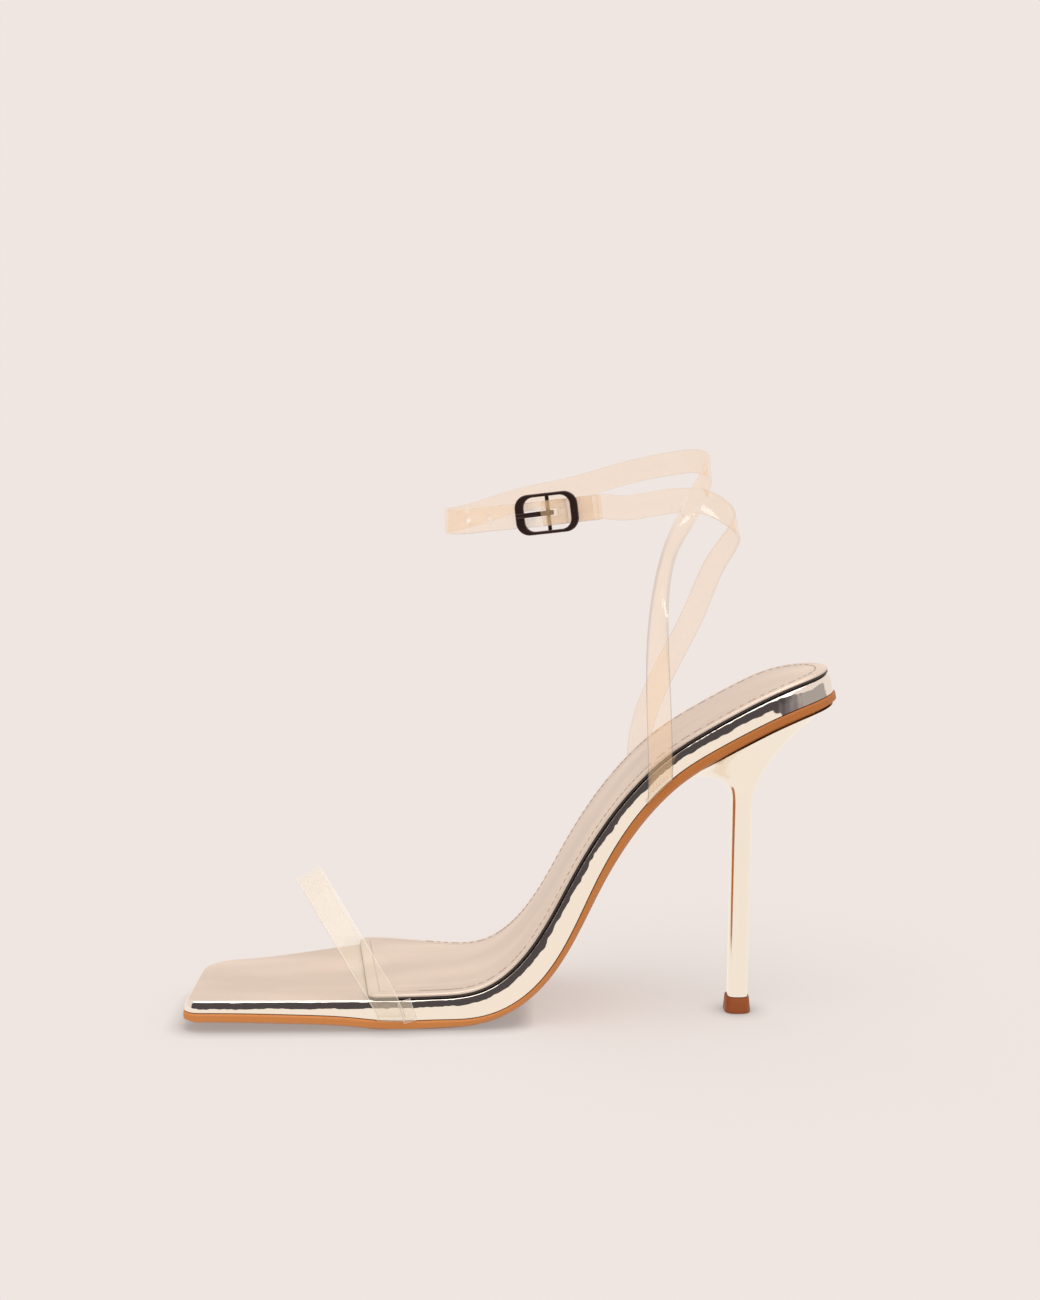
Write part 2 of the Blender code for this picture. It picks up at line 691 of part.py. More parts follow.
def buckle_frame():
    """Middle of the buckle's bar and its three directions: along, up across the strap, outward."""
    on_form, outward = ankle_point(BUCKLE_TURN, ANKLE_HEIGHT)
    tilt = math.radians(BUCKLE_TILT)
    level = Vector((-outward.y, outward.x, 0))
    along = level * math.cos(tilt) + Vector((0, 0, math.sin(tilt)))
    across = outward.cross(along)
    leg = on_form - outward * LEG_TO_STRAP
    return leg, along, across, outward


def in_buckle(place_along, over_leg, across_by=0.0):
    leg, along, across, outward = buckle_frame()
    return leg + along * place_along + across * across_by + outward * over_leg


def strap_sides(points, outwards, twists):
    """Width direction at each point of a strap that lies round the leg, twisted by so many degrees."""
    sides = []
    for i in range(len(points)):
        ahead = points[min(i + 1, len(points) - 1)] - points[max(i - 1, 0)]
        side = outwards[i].cross(ahead).normalized()
        sides.append(Quaternion(ahead.normalized(), math.radians(twists[i])) @ side)
    return sides


def quarter_foot(side, along):
    """Two points of a quarter strap on the rim of the sole, low and high."""
    foot, outward = rim(side, along)
    top = Vector((0, 0, footbed_height(along)))
    return [foot + top - Vector((0, 0, QUARTER_FOOT_DROP)), foot + top], [outward, outward]


def build_inner_strap(plastic):
    """From the inner side of the sole, back round the ankle and forward to the buckle."""
    points, outwards = quarter_foot(-1, QUARTER_INNER)
    twists = [0.0] * len(points)
    for row in INNER_STRAP:
        point, outward = ankle_point(row.turn, row.height * ANKLE_HEIGHT)
        points.append(point)
        outwards.append(outward)
        twists.append(row.twist)
    for row in TAIL_THROUGH:
        half = BUCKLE_LEFT if row.along < 0 else BUCKLE_RIGHT
        points.append(in_buckle(row.along * half, row.level * STACK))
        outwards.append(buckle_frame()[3])
        twists.append(0.0)
    sides = strap_sides(points, outwards, twists)
    return ribbon("ankle_straps", points, sides, STRAP_WIDTH, STRAP_THICKNESS, plastic)


def build_outer_strap(plastic):
    """From the outer side, back round outside the inner strap and forward, looped on the bar."""
    points, outwards = quarter_foot(1, QUARTER_OUTER)
    for row in OUTER_STRAP:
        point, outward = ankle_point(row.turn, row.height * ANKLE_HEIGHT, row.step * CROSSING_STEP)
        points.append(point)
        outwards.append(outward)
    sides = strap_sides(points, outwards, [0.0] * len(points))
    across = buckle_frame()[2]
    loop = BAR_RADIUS + BAR_CLEARANCE + STRAP_THICKNESS / 2
    inner_level = BAR_LEVEL - loop
    outer_level = inner_level + STRAP_THICKNESS + SEAM
    turned = [
        (TAIL_LENGTH + STRAP_THICKNESS, outer_level),
        (BUCKLE_RIGHT, outer_level),
        (LOOP_NECK, outer_level + LOOP_HUMP),
    ]
    for angle in (70, 95, 120, 150, 180, 210, 240, 270):
        turn = math.radians(angle)
        turned.append((loop * math.cos(turn), BAR_LEVEL + loop * math.sin(turn)))
    turned += [(LOOP_NECK, inner_level), (BUCKLE_RIGHT, inner_level), (TAIL_LENGTH, inner_level)]
    for place_along, level in turned:
        points.append(in_buckle(place_along, level))
        sides.append(-across)
    if sides[len(OUTER_STRAP)].dot(sides[-1]) < 0:
        sides[-len(turned):] = [across] * len(turned)
    return ribbon("outer_strap", points, sides, STRAP_WIDTH, STRAP_THICKNESS, plastic)


def buckle_box(name, run, low, high, width, look=None):
    """Block in the buckle's own directions: along from run[0] to run[1], over from low to high."""
    half = width / 2
    corners = ((high, half), (high, -half), (low, -half), (low, half))
    rings = [[in_buckle(along, over, across) for over, across in corners] for along in run]
    return lofted(name, rings, look)


def cut_slot(strap, run, width):
    """Slot for the prong through everything that lies in the buckle."""
    cutter = buckle_box("slot", run, LEG_TO_STRAP - CUT_THROUGH, LEG_TO_STRAP + CUT_THROUGH, width)
    combine(strap, as_cutter(cutter), "DIFFERENCE")


def cut_hole(strap, middle):
    """Round hole through the strap."""
    turns = [2 * math.pi * i / HOLE_SIDES for i in range(HOLE_SIDES)]
    rim_points = [(middle + HOLE_RADIUS * math.cos(turn), HOLE_RADIUS * math.sin(turn)) for turn in turns]
    rings = []
    for level in (LEG_TO_STRAP - CUT_THROUGH, LEG_TO_STRAP + CUT_THROUGH):
        rings.append([in_buckle(along, level, across) for along, across in rim_points])
    combine(strap, as_cutter(lofted("hole", rings, None)), "DIFFERENCE")


def build_ankle_straps(plastic):
    """Both ankle straps, joined where they cross, with the buckle's slot and holes."""
    inner = build_inner_strap(plastic)
    slot_width = PRONG_WIDTH + 2 * SEAM
    for share in HOLE_PLACES:
        cut_hole(inner, share * HOLE_PITCH)
    cut_slot(inner, PRONG_SLOT, slot_width)

    outer = build_outer_strap(plastic)
    weld_run = (WELD_PLACE - WELD_LENGTH / 2, WELD_PLACE + WELD_LENGTH / 2)
    weld_low = BAR_LEVEL - BAR_RADIUS - BAR_CLEARANCE - STRAP_THICKNESS / 2
    weld_high = weld_low + STRAP_THICKNESS + SEAM
    weld = buckle_box("weld", weld_run, weld_low, weld_high, STRAP_WIDTH - 2 * SEAM, plastic)
    combine(outer, weld, "UNION")
    cut_slot(outer, LOOP_SLOT, slot_width)

    for strap, (side, along) in zip((inner, outer), strap_feet()[2:]):
        seat_on_sole(strap, side, along, TUCK_WIDTH)
    return combine(inner, outer, "UNION")


def rounded_loop(left, right, half_height, corner, over):
    """Rectangle with round corners at one height of the buckle."""
    ring = []
    for x, y, start in ((right, 1, 0.0), (left, 1, 90.0), (left, -1, 180.0), (right, -1, 270.0)):
        middle_x = x - corner if x == right else x + corner
        middle_y = y * (half_height - corner)
        for i in range(BUCKLE_CORNER_STEPS):
            turn = math.radians(start + 90.0 * i / (BUCKLE_CORNER_STEPS - 1))
            along = middle_x + corner * math.cos(turn)
            ring.append(in_buckle(along, over, middle_y + corner * math.sin(turn)))
    return ring


def build_buckle_loop(metal):
    """Closed frame of the buckle, its edges eased."""
    inner_left = BUCKLE_LEFT_END - BUCKLE_LEFT
    inner_right = BUCKLE_RIGHT - BUCKLE_RIGHT_END
    half = BUCKLE_HEIGHT / 2
    inner_half = half - BUCKLE_SIDE
    inner_corner = BUCKLE_CORNER - BUCKLE_SIDE
    low = FRAME_LEVEL - BUCKLE_THICKNESS / 2
    top = FRAME_LEVEL + BUCKLE_THICKNESS / 2
    upward = table(
        "over ease",
        (low, BUCKLE_EDGE_ROUND), (low + BUCKLE_EDGE_ROUND, 0.0),
        (top - BUCKLE_EDGE_ROUND, 0.0), (top, BUCKLE_EDGE_ROUND),
    )
    rings = []
    for row in upward:
        left = row.ease - BUCKLE_LEFT
        right = BUCKLE_RIGHT - row.ease
        rings.append(rounded_loop(left, right, half - row.ease, BUCKLE_CORNER - row.ease, row.over))
    for row in reversed(upward):
        left = inner_left - row.ease
        right = inner_right + row.ease
        rings.append(rounded_loop(left, right, inner_half + row.ease, inner_corner + row.ease, row.over))
    count = len(rings[0])
    verts = [point for ring in rings for point in ring]
    faces = []
    for level in range(len(rings)):
        here = level * count
        there = ((level + 1) % len(rings)) * count
        for i in range(count):
            j = (i + 1) % count
            faces.append((here + i, here + j, there + j, there + i))
    return new_object("buckle_frame", verts, faces, metal)


def build_bar(metal):
    """Round bar that dips from one side of the frame to the other, below the free strap."""
    side = BUCKLE_HEIGHT / 2 - BUCKLE_SIDE / 2
    dip = table(
        "across over",
        (side, FRAME_LEVEL), (side, BAR_LEVEL + 2 * BAR_RADIUS),
        (side - 0.35 * BAR_RADIUS, BAR_LEVEL + 0.6 * BAR_RADIUS), (side - BAR_RADIUS, BAR_LEVEL),
    )
    path = [Vector((row.across, row.over)) for row in dip]
    path += [Vector((-row.across, row.over)) for row in reversed(dip)]
    rings = []
    for i, middle in enumerate(path):
        run = (path[min(i + 1, len(path) - 1)] - path[max(i - 1, 0)]).normalized()
        ring = []
        for k in range(BAR_SIDES):
            turn = 2 * math.pi * k / BAR_SIDES
            sideways = BAR_FLATNESS * BAR_RADIUS * math.cos(turn)
            over = middle.y + sideways * run.x
            ring.append(in_buckle(BAR_RADIUS * math.sin(turn), over, middle.x - sideways * run.y))
        rings.append(ring)
    return lofted("bar", rings, metal)


def build_prong(metal):
    """Flat prong that hooks round the bar and rests on the frame's front end."""
    hook = BAR_RADIUS + SEAM + PRONG_THICKNESS / 2
    points = []
    for angle in (195, 235, 275, 315, 355, 395, 430, 455):
        turn = math.radians(angle)
        points.append(in_buckle(hook * math.cos(turn), BAR_LEVEL + hook * math.sin(turn)))
    for row in PRONG_RUN:
        points.append(in_buckle(row.along * BUCKLE_LEFT, row.level * STACK))
    across = buckle_frame()[2]
    return ribbon("buckle_prong", points, [across] * len(points), PRONG_WIDTH, PRONG_THICKNESS, metal)


def build_buckle():
    """Frame with its centre bar, and the prong that hooks round the bar."""
    metal = material("buckle_metal", (0.10, 0.095, 0.10), 0.22, 1.0)
    frame = build_buckle_loop(metal)
    combine(frame, build_bar(metal), "UNION")
    return frame, build_prong(metal)


def main():
    for old in list(bpy.data.objects):
        bpy.data.objects.remove(old)
    plastic = material("clear_plastic", (0.96, 0.90, 0.82), 0.12, 0.0, 0.4)
    board, outsole, sock = build_sole()
    heel, tip = build_heel()
    toe_strap = build_toe_strap(plastic)
    ankle_straps = build_ankle_straps(plastic)
    frame, prong = build_buckle()
    for side, along in strap_feet():
        combine(board, as_cutter(tuck("slot", side, along, TUCK_WIDTH, SEAM)), "DIFFERENCE")
    pieces = [board, outsole, sock, heel, tip, toe_strap, ankle_straps, frame, prong]

    corners = [piece.matrix_world @ vertex.co for piece in pieces for vertex in piece.data.vertices]
    middle_x = (min(c.x for c in corners) + max(c.x for c in corners)) / 2
    middle_y = (min(c.y for c in corners) + max(c.y for c in corners)) / 2
    stand = bpy.data.objects.new("sandal", None)
    bpy.context.collection.objects.link(stand)
    stand.location = (-middle_x, -middle_y, 0.0)
    for piece in pieces:
        piece.parent = stand
    bpy.context.view_layer.update()


main()
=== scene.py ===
"""Looks of a strappy heeled sandal with clear straps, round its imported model.

Lengths are in metres. The fine meshes follow the same sizes and curves as the solids do.
"""

import math
from collections import namedtuple

import bmesh
import bpy
import numpy as np
from mathutils import Matrix, Quaternion, Vector


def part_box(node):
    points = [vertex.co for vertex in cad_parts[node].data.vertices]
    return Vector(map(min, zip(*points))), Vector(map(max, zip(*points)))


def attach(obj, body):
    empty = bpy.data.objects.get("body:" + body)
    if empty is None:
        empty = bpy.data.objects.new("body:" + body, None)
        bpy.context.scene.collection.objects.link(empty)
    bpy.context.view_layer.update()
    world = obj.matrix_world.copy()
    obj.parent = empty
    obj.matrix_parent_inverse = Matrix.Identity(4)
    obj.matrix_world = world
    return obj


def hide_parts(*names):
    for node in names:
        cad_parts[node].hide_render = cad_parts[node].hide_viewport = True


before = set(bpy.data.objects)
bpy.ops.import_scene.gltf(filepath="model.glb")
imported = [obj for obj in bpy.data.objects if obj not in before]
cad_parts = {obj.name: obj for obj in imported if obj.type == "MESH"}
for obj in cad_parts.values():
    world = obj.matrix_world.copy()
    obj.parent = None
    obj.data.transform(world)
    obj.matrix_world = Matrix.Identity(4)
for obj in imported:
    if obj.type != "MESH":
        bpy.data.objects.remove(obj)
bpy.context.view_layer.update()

MM = 0.001

# Sole, as seen from above
SOLE_LENGTH = 198.8 * MM
SOLE_WIDTH = 69.5 * MM
SEAT_HEIGHT = 111.0 * MM
BACK_ROUND = 22.0 * MM
TOE_CORNER_INNER = 5.0 * MM
TOE_CORNER_OUTER = 12.0 * MM

# Layers of the sole, from the footbed down
SOCK_THICKNESS = 1.5 * MM
SOCK_START = 55.9 * MM
SOCK_SLANT = 7.0 * MM
SOCK_CORNER = 4.0 * MM
SOCK_MARGIN = 0.6 * MM
CUSHION_RISE = 0.5 * MM
CUSHION_MARGIN = 7.0 * MM
CUSHION_SHOULDER = 3.0 * MM
SOLE_THICKNESS = 11.35 * MM
OUTSOLE_THICKNESS = 3.3 * MM
OUTSOLE_LIP = 0.4 * MM
OUTSOLE_CHAMFER = 1.1 * MM
OUTSOLE_CHAMFER_WIDTH = 1.8 * MM
SEAM = 0.3 * MM

# Heel and its tip; the powers shape its corners, its back, its front fillet and its seat
HEEL_FRONT = 145.5 * MM
HEEL_AXIS = 172.5 * MM
HEEL_SIDE_SHIFT = 0.8 * MM
HEEL_INSET = 0.9 * MM
COLUMN_LENGTH = 6.3 * MM
COLUMN_WIDTH = 8.2 * MM
COLUMN_TOP = 66.5 * MM
COLUMN_LEAN = 0.9 * MM
COLUMN_SQUARENESS = 3.2
HEEL_BACK_FLARE = 1.65
HEEL_FRONT_FILLET = 3.0
SEAT_SPACING = 0.75
SEAT_FRONT_ROUND = 0.35
TIP_HEIGHT = 4.9 * MM
TIP_SPREAD = 0.55 * MM
TIP_FOOT_SPREAD = 1.0 * MM
TIP_EDGE_ROUND = 0.5 * MM
TIP_ROUND_SHARE = 0.3

# Straps
STRAP_WIDTH = 7.4 * MM
STRAP_THICKNESS = 1.0 * MM
TOE_STRAP_WIDTH = 8.3 * MM
TOE_STRAP_INNER = 61.7 * MM
TOE_STRAP_OUTER = 45.5 * MM
TOE_STRAP_RISE = 31.2 * MM
TOE_STRAP_LEAN = 17.0 * MM
TOE_STRAP_TAB_LEAN = 2.4 * MM
TOE_STRAP_FACING = (-0.5, 0.0, 1.0)
QUARTER_INNER = 145.6 * MM
QUARTER_OUTER = 142.5 * MM
TUCK_DEPTH = 9.0 * MM
TUCK_WIDTH = 8.0 * MM
TOE_FOOT_DROP = 0.6 * SOLE_THICKNESS
QUARTER_FOOT_DROP = 1.3 * SOLE_THICKNESS

# Opening that the ankle straps stand round
ANKLE_FRONT = 81.2 * MM
ANKLE_BACK = 170.7 * MM
ANKLE_BACK_HEIGHT = 151.0 * MM
ANKLE_BACK_LEAN = 0.3
ANKLE_WIDTH = 53.0 * MM
ANKLE_CENTRE = 22.5 * MM
ANKLE_HEIGHT = 158.0 * MM
CROSSING_STEP = 0.75 * MM

# Buckle, with its centre bar as the middle
BUCKLE_TURN = 106.0
BUCKLE_TILT = 6.5
BUCKLE_LEFT = 9.4 * MM
BUCKLE_RIGHT = 9.3 * MM
BUCKLE_HEIGHT = 12.0 * MM
BUCKLE_LEFT_END = 2.6 * MM
BUCKLE_RIGHT_END = 2.2 * MM
BUCKLE_SIDE = 0.95 * MM
BUCKLE_THICKNESS = 1.6 * MM
BUCKLE_CORNER = 4.0 * MM
BUCKLE_EDGE_ROUND = 0.25 * MM
BAR_RADIUS = 0.6 * MM
BAR_CLEARANCE = 0.4 * MM
BAR_FLATNESS = 0.85
PRONG_WIDTH = 1.5 * MM
PRONG_THICKNESS = 0.8 * MM
LOOP_NECK = 4.2 * MM
LOOP_HUMP = 0.95 * MM
TAIL_LENGTH = 15.6 * MM
WELD_PLACE = 13.9 * MM
WELD_LENGTH = 1.2 * MM
HOLE_PITCH = 7.5 * MM
HOLE_RADIUS = 0.9 * MM
HOLE_PLACES = (-3.42, -2.42, 0.58)
PRONG_SLOT = (-7.2 * MM, -1.8 * MM)
LOOP_SLOT = (-3.0 * MM, 2.6 * MM)

# Heights over the leg inside the buckle
STACK = 1.0 * MM
BAR_LEVEL = 2.0 * STACK
FRAME_LEVEL = 4.7 * STACK
LEG_TO_STRAP = 3.1 * STACK
CUT_THROUGH = 8.0 * STACK

# How finely curves are cut
SLOPE_STEP = 0.5 * MM
ALONG_STEP = 1.25 * MM
PATH_STEP = 0.2 * MM
BEND_STEP = math.radians(3.0)
LONG_STEP = 2.0 * MM
SETTLE_ROUNDS = 30
SMOOTH_ANGLE = 40.0
STRAP_EDGE_ANGLE = 30.0
TIP_EDGE_ANGLE = 50.0
STITCH_EDGE_ANGLE = 60.0
CORNER_ANGLES = tuple(range(0, 91, 9))
BACK_ANGLES = tuple(range(4, 85, 4)) + (86, 88)
HEEL_SIDES = 48
HEEL_RISES = tuple(math.sin(math.radians(a)) for a in range(87, -1, -3))
TOE_STRAP_STEPS = 12
HOLE_SIDES = 24
BAR_SIDES = 20
BUCKLE_CORNER_TURNS = tuple(range(0, 91, 6))
CUSHION_TURNS = tuple(range(0, 91, 15))
SOCK_EDGE_TURNS = (0, 22, 45, 67, 90)
COLUMN_SHARES = (0.25, 0.5, 0.75, 1.0)
TUCK_SHARES = (-1.0, -0.5, 0.0, 0.5, 1.0)
CUTTER_SHARES = tuple(i / 4 for i in range(-5, 6))
LOOP_TURNS = (70, 95, 120, 150, 180, 210, 240, 270)
HOOK_TURNS = (195, 235, 275, 315, 355, 395, 430, 455)

# Rim of the board: a tight turn at its top edge, then a slow one down its side
RIM_TIGHT = 0.9 * MM
RIM_SLOW = 5.2 * MM
RIM_CHANGE = 30.0
RIM_TURNS = (90, 78, 66, 54, 42, 30, 26, 22, 18, 14, 10, 6, 3, 0)
RIM_WALL_ROWS = 5

# Rounding of the straps' edges, and the strip folded back behind the toe strap's near end
STRAP_EDGE_ROUND = 0.24 * MM
STRAP_EDGE_TURNS = (0, 30, 60, 90)
FOLD_WIDTH = 4.2 * MM
FOLD_THICKNESS = 0.5 * MM
FOLD_SHOWN = 0.42
FOLD_LEAN = 0.4 * MM

# Easing of edges that the solids leave sharp
OUTSOLE_EASE = 0.5 * MM
SOCK_EDGE_EASE = 0.85 * MM
TIP_TOP_EASE = 0.25 * MM

# Stitches along the sock's rim
STITCH_LENGTH = 1.5 * MM
STITCH_PITCH = 2.3 * MM
STITCH_WIDTH = 0.42 * MM
STITCH_HEIGHT = 0.16 * MM
STITCH_INSET = 3.4 * MM
STITCH_START = 71.0 * MM
STITCH_SIDES = 6
STITCH_SWELLS = ((-1.0, 0.25), (-0.7, 0.85), (0.0, 1.0), (0.7, 0.85), (1.0, 0.25))
SEAM_LINE_WIDTH = 0.5 * MM

# Camera: its place over the floor, its angles and its focal length
CAMERA_PLACE = (-1.36 * MM, -605.1 * MM, 183.3 * MM)
CAMERA_TILT = math.radians(6.59)
CAMERA_YAW = math.radians(0.448)
CAMERA_ROLL = math.radians(0.249)
CAMERA_FOCAL_PX = 1933.1
IMAGE_HEIGHT_PX = 1300.0
SENSOR = 36.0
CLIP_NEAR = 0.01
CLIP_FAR = 100.0

# Studio: the pale surroundings and the light that adds to them
SURROUND = (0.863, 0.791, 0.753)
SUN_SHARE = 0.35
SUN_TILT = math.radians(25.0)
SUN_SPREAD = math.radians(60.0)
FLOOR_REACH = 30.0
FLOOR_GLOW = 0.55
FLOOR_ROUGHNESS = 0.9
# Painted contact shadow: close to the sole, ambient occlusion darkens the floor's colour and its glow
PAINTED_SHADOW_REACH = 8.0 * MM
PAINTED_SHADOW_OPEN = 0.5
PAINTED_SHADOW_DARK = 0.66
PAINTED_SHADOW_SAMPLES = 16

# Where a card that changes its strength begins and stops doing so, to the right
CARD_FADE = (0.3, 1.5)

# Satin of the sock and the board's top: its colours, and how much finer its streaks are across
SATIN_DARK = (0.63, 0.535, 0.455)
SATIN_LIGHT = (0.735, 0.625, 0.53)
SATIN_ROUGHNESS = 0.48
SATIN_METALLIC = 0.4
SATIN_STREAKS = (0.5, 1.6, 0.5)
SATIN_PATCHES = 34.0
SATIN_PATCH_DETAIL = 1.5
SATIN_GRAIN = 2600.0
SATIN_GRAIN_DEPTH = 0.006 * MM
SATIN_WAVES = 90.0
SATIN_WAVE = 0.05 * MM

# Outsole: its colour at the toe, and the darker colour towards the heel, which is painted shade
OUTSOLE_TOE = (0.60, 0.235, 0.065)
OUTSOLE_HEEL_SHADED = (0.45, 0.155, 0.035)
OUTSOLE_ROUGHNESS = 0.5
OUTSOLE_SHINE = 0.15
OUTSOLE_SHADE_FADE = (0.35, 0.9)
OUTSOLE_GRAIN = 1500.0
OUTSOLE_GRAIN_DETAIL = 3.0
OUTSOLE_GRAIN_DEPTH = 0.012 * MM

# Waves of the foil and of the plastic, by the number of swells in a metre
FOIL_BROAD = 85.0
FOIL_FINE = 340.0
FOIL_FINE_SHARE = 0.3
FOIL_STRETCH = (1.0, 1.0, 0.5)
WAVE_DETAIL = 1.0
PLASTIC_WAVES = 160.0
PLASTIC_WAVE = 0.03 * MM
PLASTIC_ROUGHNESS = 0.08
PLASTIC_TURN = 0.35
PLASTIC_IOR = 1.5

# Edges of the inner quarter strap get painted shade, darker than the others, up to a height and out to a
# side, where that fades from the first value to the second
QUARTER_EDGE_HEIGHT = (145.0 * MM, 157.0 * MM)
QUARTER_EDGE_SIDE = (-26.0 * MM, -18.0 * MM)
QUARTER_EDGE_PAINTED_SHADE = (0.26, 0.20, 0.17)


def table(columns, *rows):
    """Short table whose rows have named columns."""
    row_type = namedtuple("Row", columns)
    return [row_type(*row) for row in rows]


# Footbed line: share of the length from the toe, share of the seat's height
FOOTBED = table(
    "along height",
    (0.000, 0.1018), (0.150, 0.1014), (0.300, 0.1012), (0.397, 0.1036), (0.458, 0.1198),
    (0.503, 0.1720), (0.533, 0.2340), (0.564, 0.3230), (0.596, 0.4310), (0.641, 0.5660),
    (0.687, 0.6750), (0.732, 0.7570), (0.792, 0.8340), (0.853, 0.8970), (0.913, 0.9490),
    (1.000, 0.9910),
)

# Plan outline: share of the length, then the inner and outer edges as shares of the width
OUTLINE = table(
    "along inner outer",
    (0.000, 0.000, 0.690), (0.065, 0.000, 0.713), (0.150, 0.000, 0.812), (0.220, 0.000, 0.922),
    (0.285, 0.000, 0.997), (0.340, 0.002, 0.975), (0.400, 0.008, 0.910), (0.490, 0.024, 0.838),
    (0.580, 0.036, 0.778), (0.655, 0.020, 0.712), (0.730, -0.016, 0.655), (0.830, -0.052, 0.612),
    (0.900, -0.058, 0.598),
)

# Depth of the whole sole under the footbed line as a share of its thickness, and the thickness of the
# outsole as a share of its own, against the share of the length
DEPTH = table(
    "along depth outsole",
    (0.000, 0.775, 1.00), (0.100, 0.795, 1.00), (0.180, 0.835, 1.00), (0.255, 0.905, 1.00),
    (0.310, 1.005, 1.00), (0.400, 1.005, 0.92), (0.460, 1.025, 0.72), (0.515, 1.040, 0.60),
    (0.570, 0.970, 0.64), (0.640, 0.920, 0.86), (0.750, 0.935, 1.00), (0.900, 0.975, 1.00),
    (1.000, 0.985, 1.00),
)

# How far the opening's back stands off its leaning line: share of the ankle's height, share of its width
BACK_SHIFT = table(
    "height shift",
    (0.940, 0.000), (0.960, 0.019), (0.989, -0.034), (1.009, -0.064),
    (1.029, -0.053), (1.059, -0.045), (1.089, -0.058),
)

# Inner ankle strap: turn round the ankle from its back, inner side first, share of its height,
# and how far the strap is twisted out of the flat there, in degrees
INNER_STRAP = table(
    "turn height twist",
    (73.6, 0.760, 22.0), (66.6, 0.880, 38.0), (60.2, 0.937, 34.0), (48.0, 0.987, 16.0),
    (30.0, 1.041, 0.0), (16.0, 1.068, 0.0), (0.0, 1.083, 0.0), (-22.0, 1.091, 0.0),
    (-41.0, 1.085, 0.0), (-63.0, 1.070, 0.0), (-91.0, 1.037, 0.0), (-120.0, 1.010, 0.0),
    (-143.0, 0.987, 0.0), (-180.0, 0.978, 0.0), (-212.0, 0.981, 0.0), (-228.0, 0.988, 0.0),
)

# Outer ankle strap, in the same way, and how far it stands outside the inner one in steps
OUTER_STRAP = table(
    "turn height step",
    (-52.0, 0.787, 0.0), (-33.0, 0.892, 0.3), (-12.0, 0.955, 1.0), (4.0, 0.981, 1.0),
    (20.0, 1.006, 1.0), (38.0, 1.020, 1.0), (61.0, 1.016, 1.0), (76.0, 1.009, 0.0),
)

# Inner strap through the buckle: share of the buckle's half from the bar, height over the leg in steps
TAIL_THROUGH = table(
    "along level",
    (-1.00, 3.1), (-0.74, 3.1), (-0.42, 4.25), (0.00, 4.8),
    (0.42, 4.25), (0.74, 3.1), (1.15, 3.1), (1.62, 3.1),
)

# Prong from its hook to the frame's end: share of the buckle's half from the bar, height in steps
PRONG_RUN = table(
    "along level",
    (-0.222, 3.75), (-0.424, 4.90), (-0.626, 6.00), (-0.768, 6.20), (-0.970, 6.20),
)

# Studio cards that are only seen reflected: their sides, colours and strengths, at last on the right
CARDS = table(
    "name left right front back low high colour strength strength_right",
    ("dark_card", -2.4, 2.4, -1.0, -1.0, -0.001, 1.15, (0.9, 0.8, 0.85), 0.09, 0.4),
    ("side_card", 1.6, 1.6, -0.9, 0.9, -0.001, 0.8, (1.0, 0.93, 0.9), 0.42, 0.42),
    ("glint_card", 0.64, 0.64, 0.02, 0.085, 0.06, 0.105, (1.0, 0.99, 0.97), 10.0, 10.0),
    ("floor_card", -1.2, 1.2, -1.0, 1.0, 0.0005, 0.0005, (1.0, 0.93, 0.85), 0.95, 0.95),
    ("top_card", -0.8, 0.8, -0.9, 0.5, 1.0, 1.2, (1.0, 0.98, 0.96), 2.0, 2.0),
)

# Foils and their waves
FOILS = table(
    "name colour roughness wave",
    ("foil", (0.94, 0.865, 0.775), 0.05, 0.8 * MM),
    ("heel", (0.94, 0.875, 0.795), 0.16, 0.02 * MM),
)

# Clear plastics: how dense they are seen flat on and edge on
PLASTICS = table(
    "name colour facing edge",
    ("plastic", (1.0, 0.72, 0.42), 0.17, 0.30),
    # The edge looks colour the straps' narrow edges apart from their faces: painted edge lines for the light
    # seen through clear edges, painted shade on the ankle straps and a paler painted highlight on the toe
    # strap
    ("plastic_edge", (0.80, 0.64, 0.48), 0.20, 0.50),
    ("toe_plastic", (1.0, 0.93, 0.76), 0.13, 0.22),
    ("toe_plastic_edge", (1.0, 0.95, 0.88), 0.32, 0.60),
)

# Plain looks with a fine grain: its number of bumps in a metre and its depth
GRAINED = table(
    "name colour roughness metallic shine grain depth",
    ("buckle", (0.050, 0.026, 0.022), 0.22, 0.6, 0.5, 900.0, 0.006 * MM),
    ("tip", (0.30, 0.078, 0.015), 0.50, 0.0, 0.25, 2200.0, 0.020 * MM),
    # The sock's side wall: its dark cut edge, made near black as painted shade of the gap under the sock's
    # rim
    ("sock_edge", (0.035, 0.022, 0.020), 0.60, 0.0, 0.5, 3000.0, 0.020 * MM),
    ("seam_line", (0.52, 0.43, 0.36), 0.60, 0.2, 0.5, 3000.0, 0.020 * MM),
    ("thread", (0.40, 0.31, 0.26), 0.50, 0.0, 0.5, 4000.0, 0.030 * MM),
)


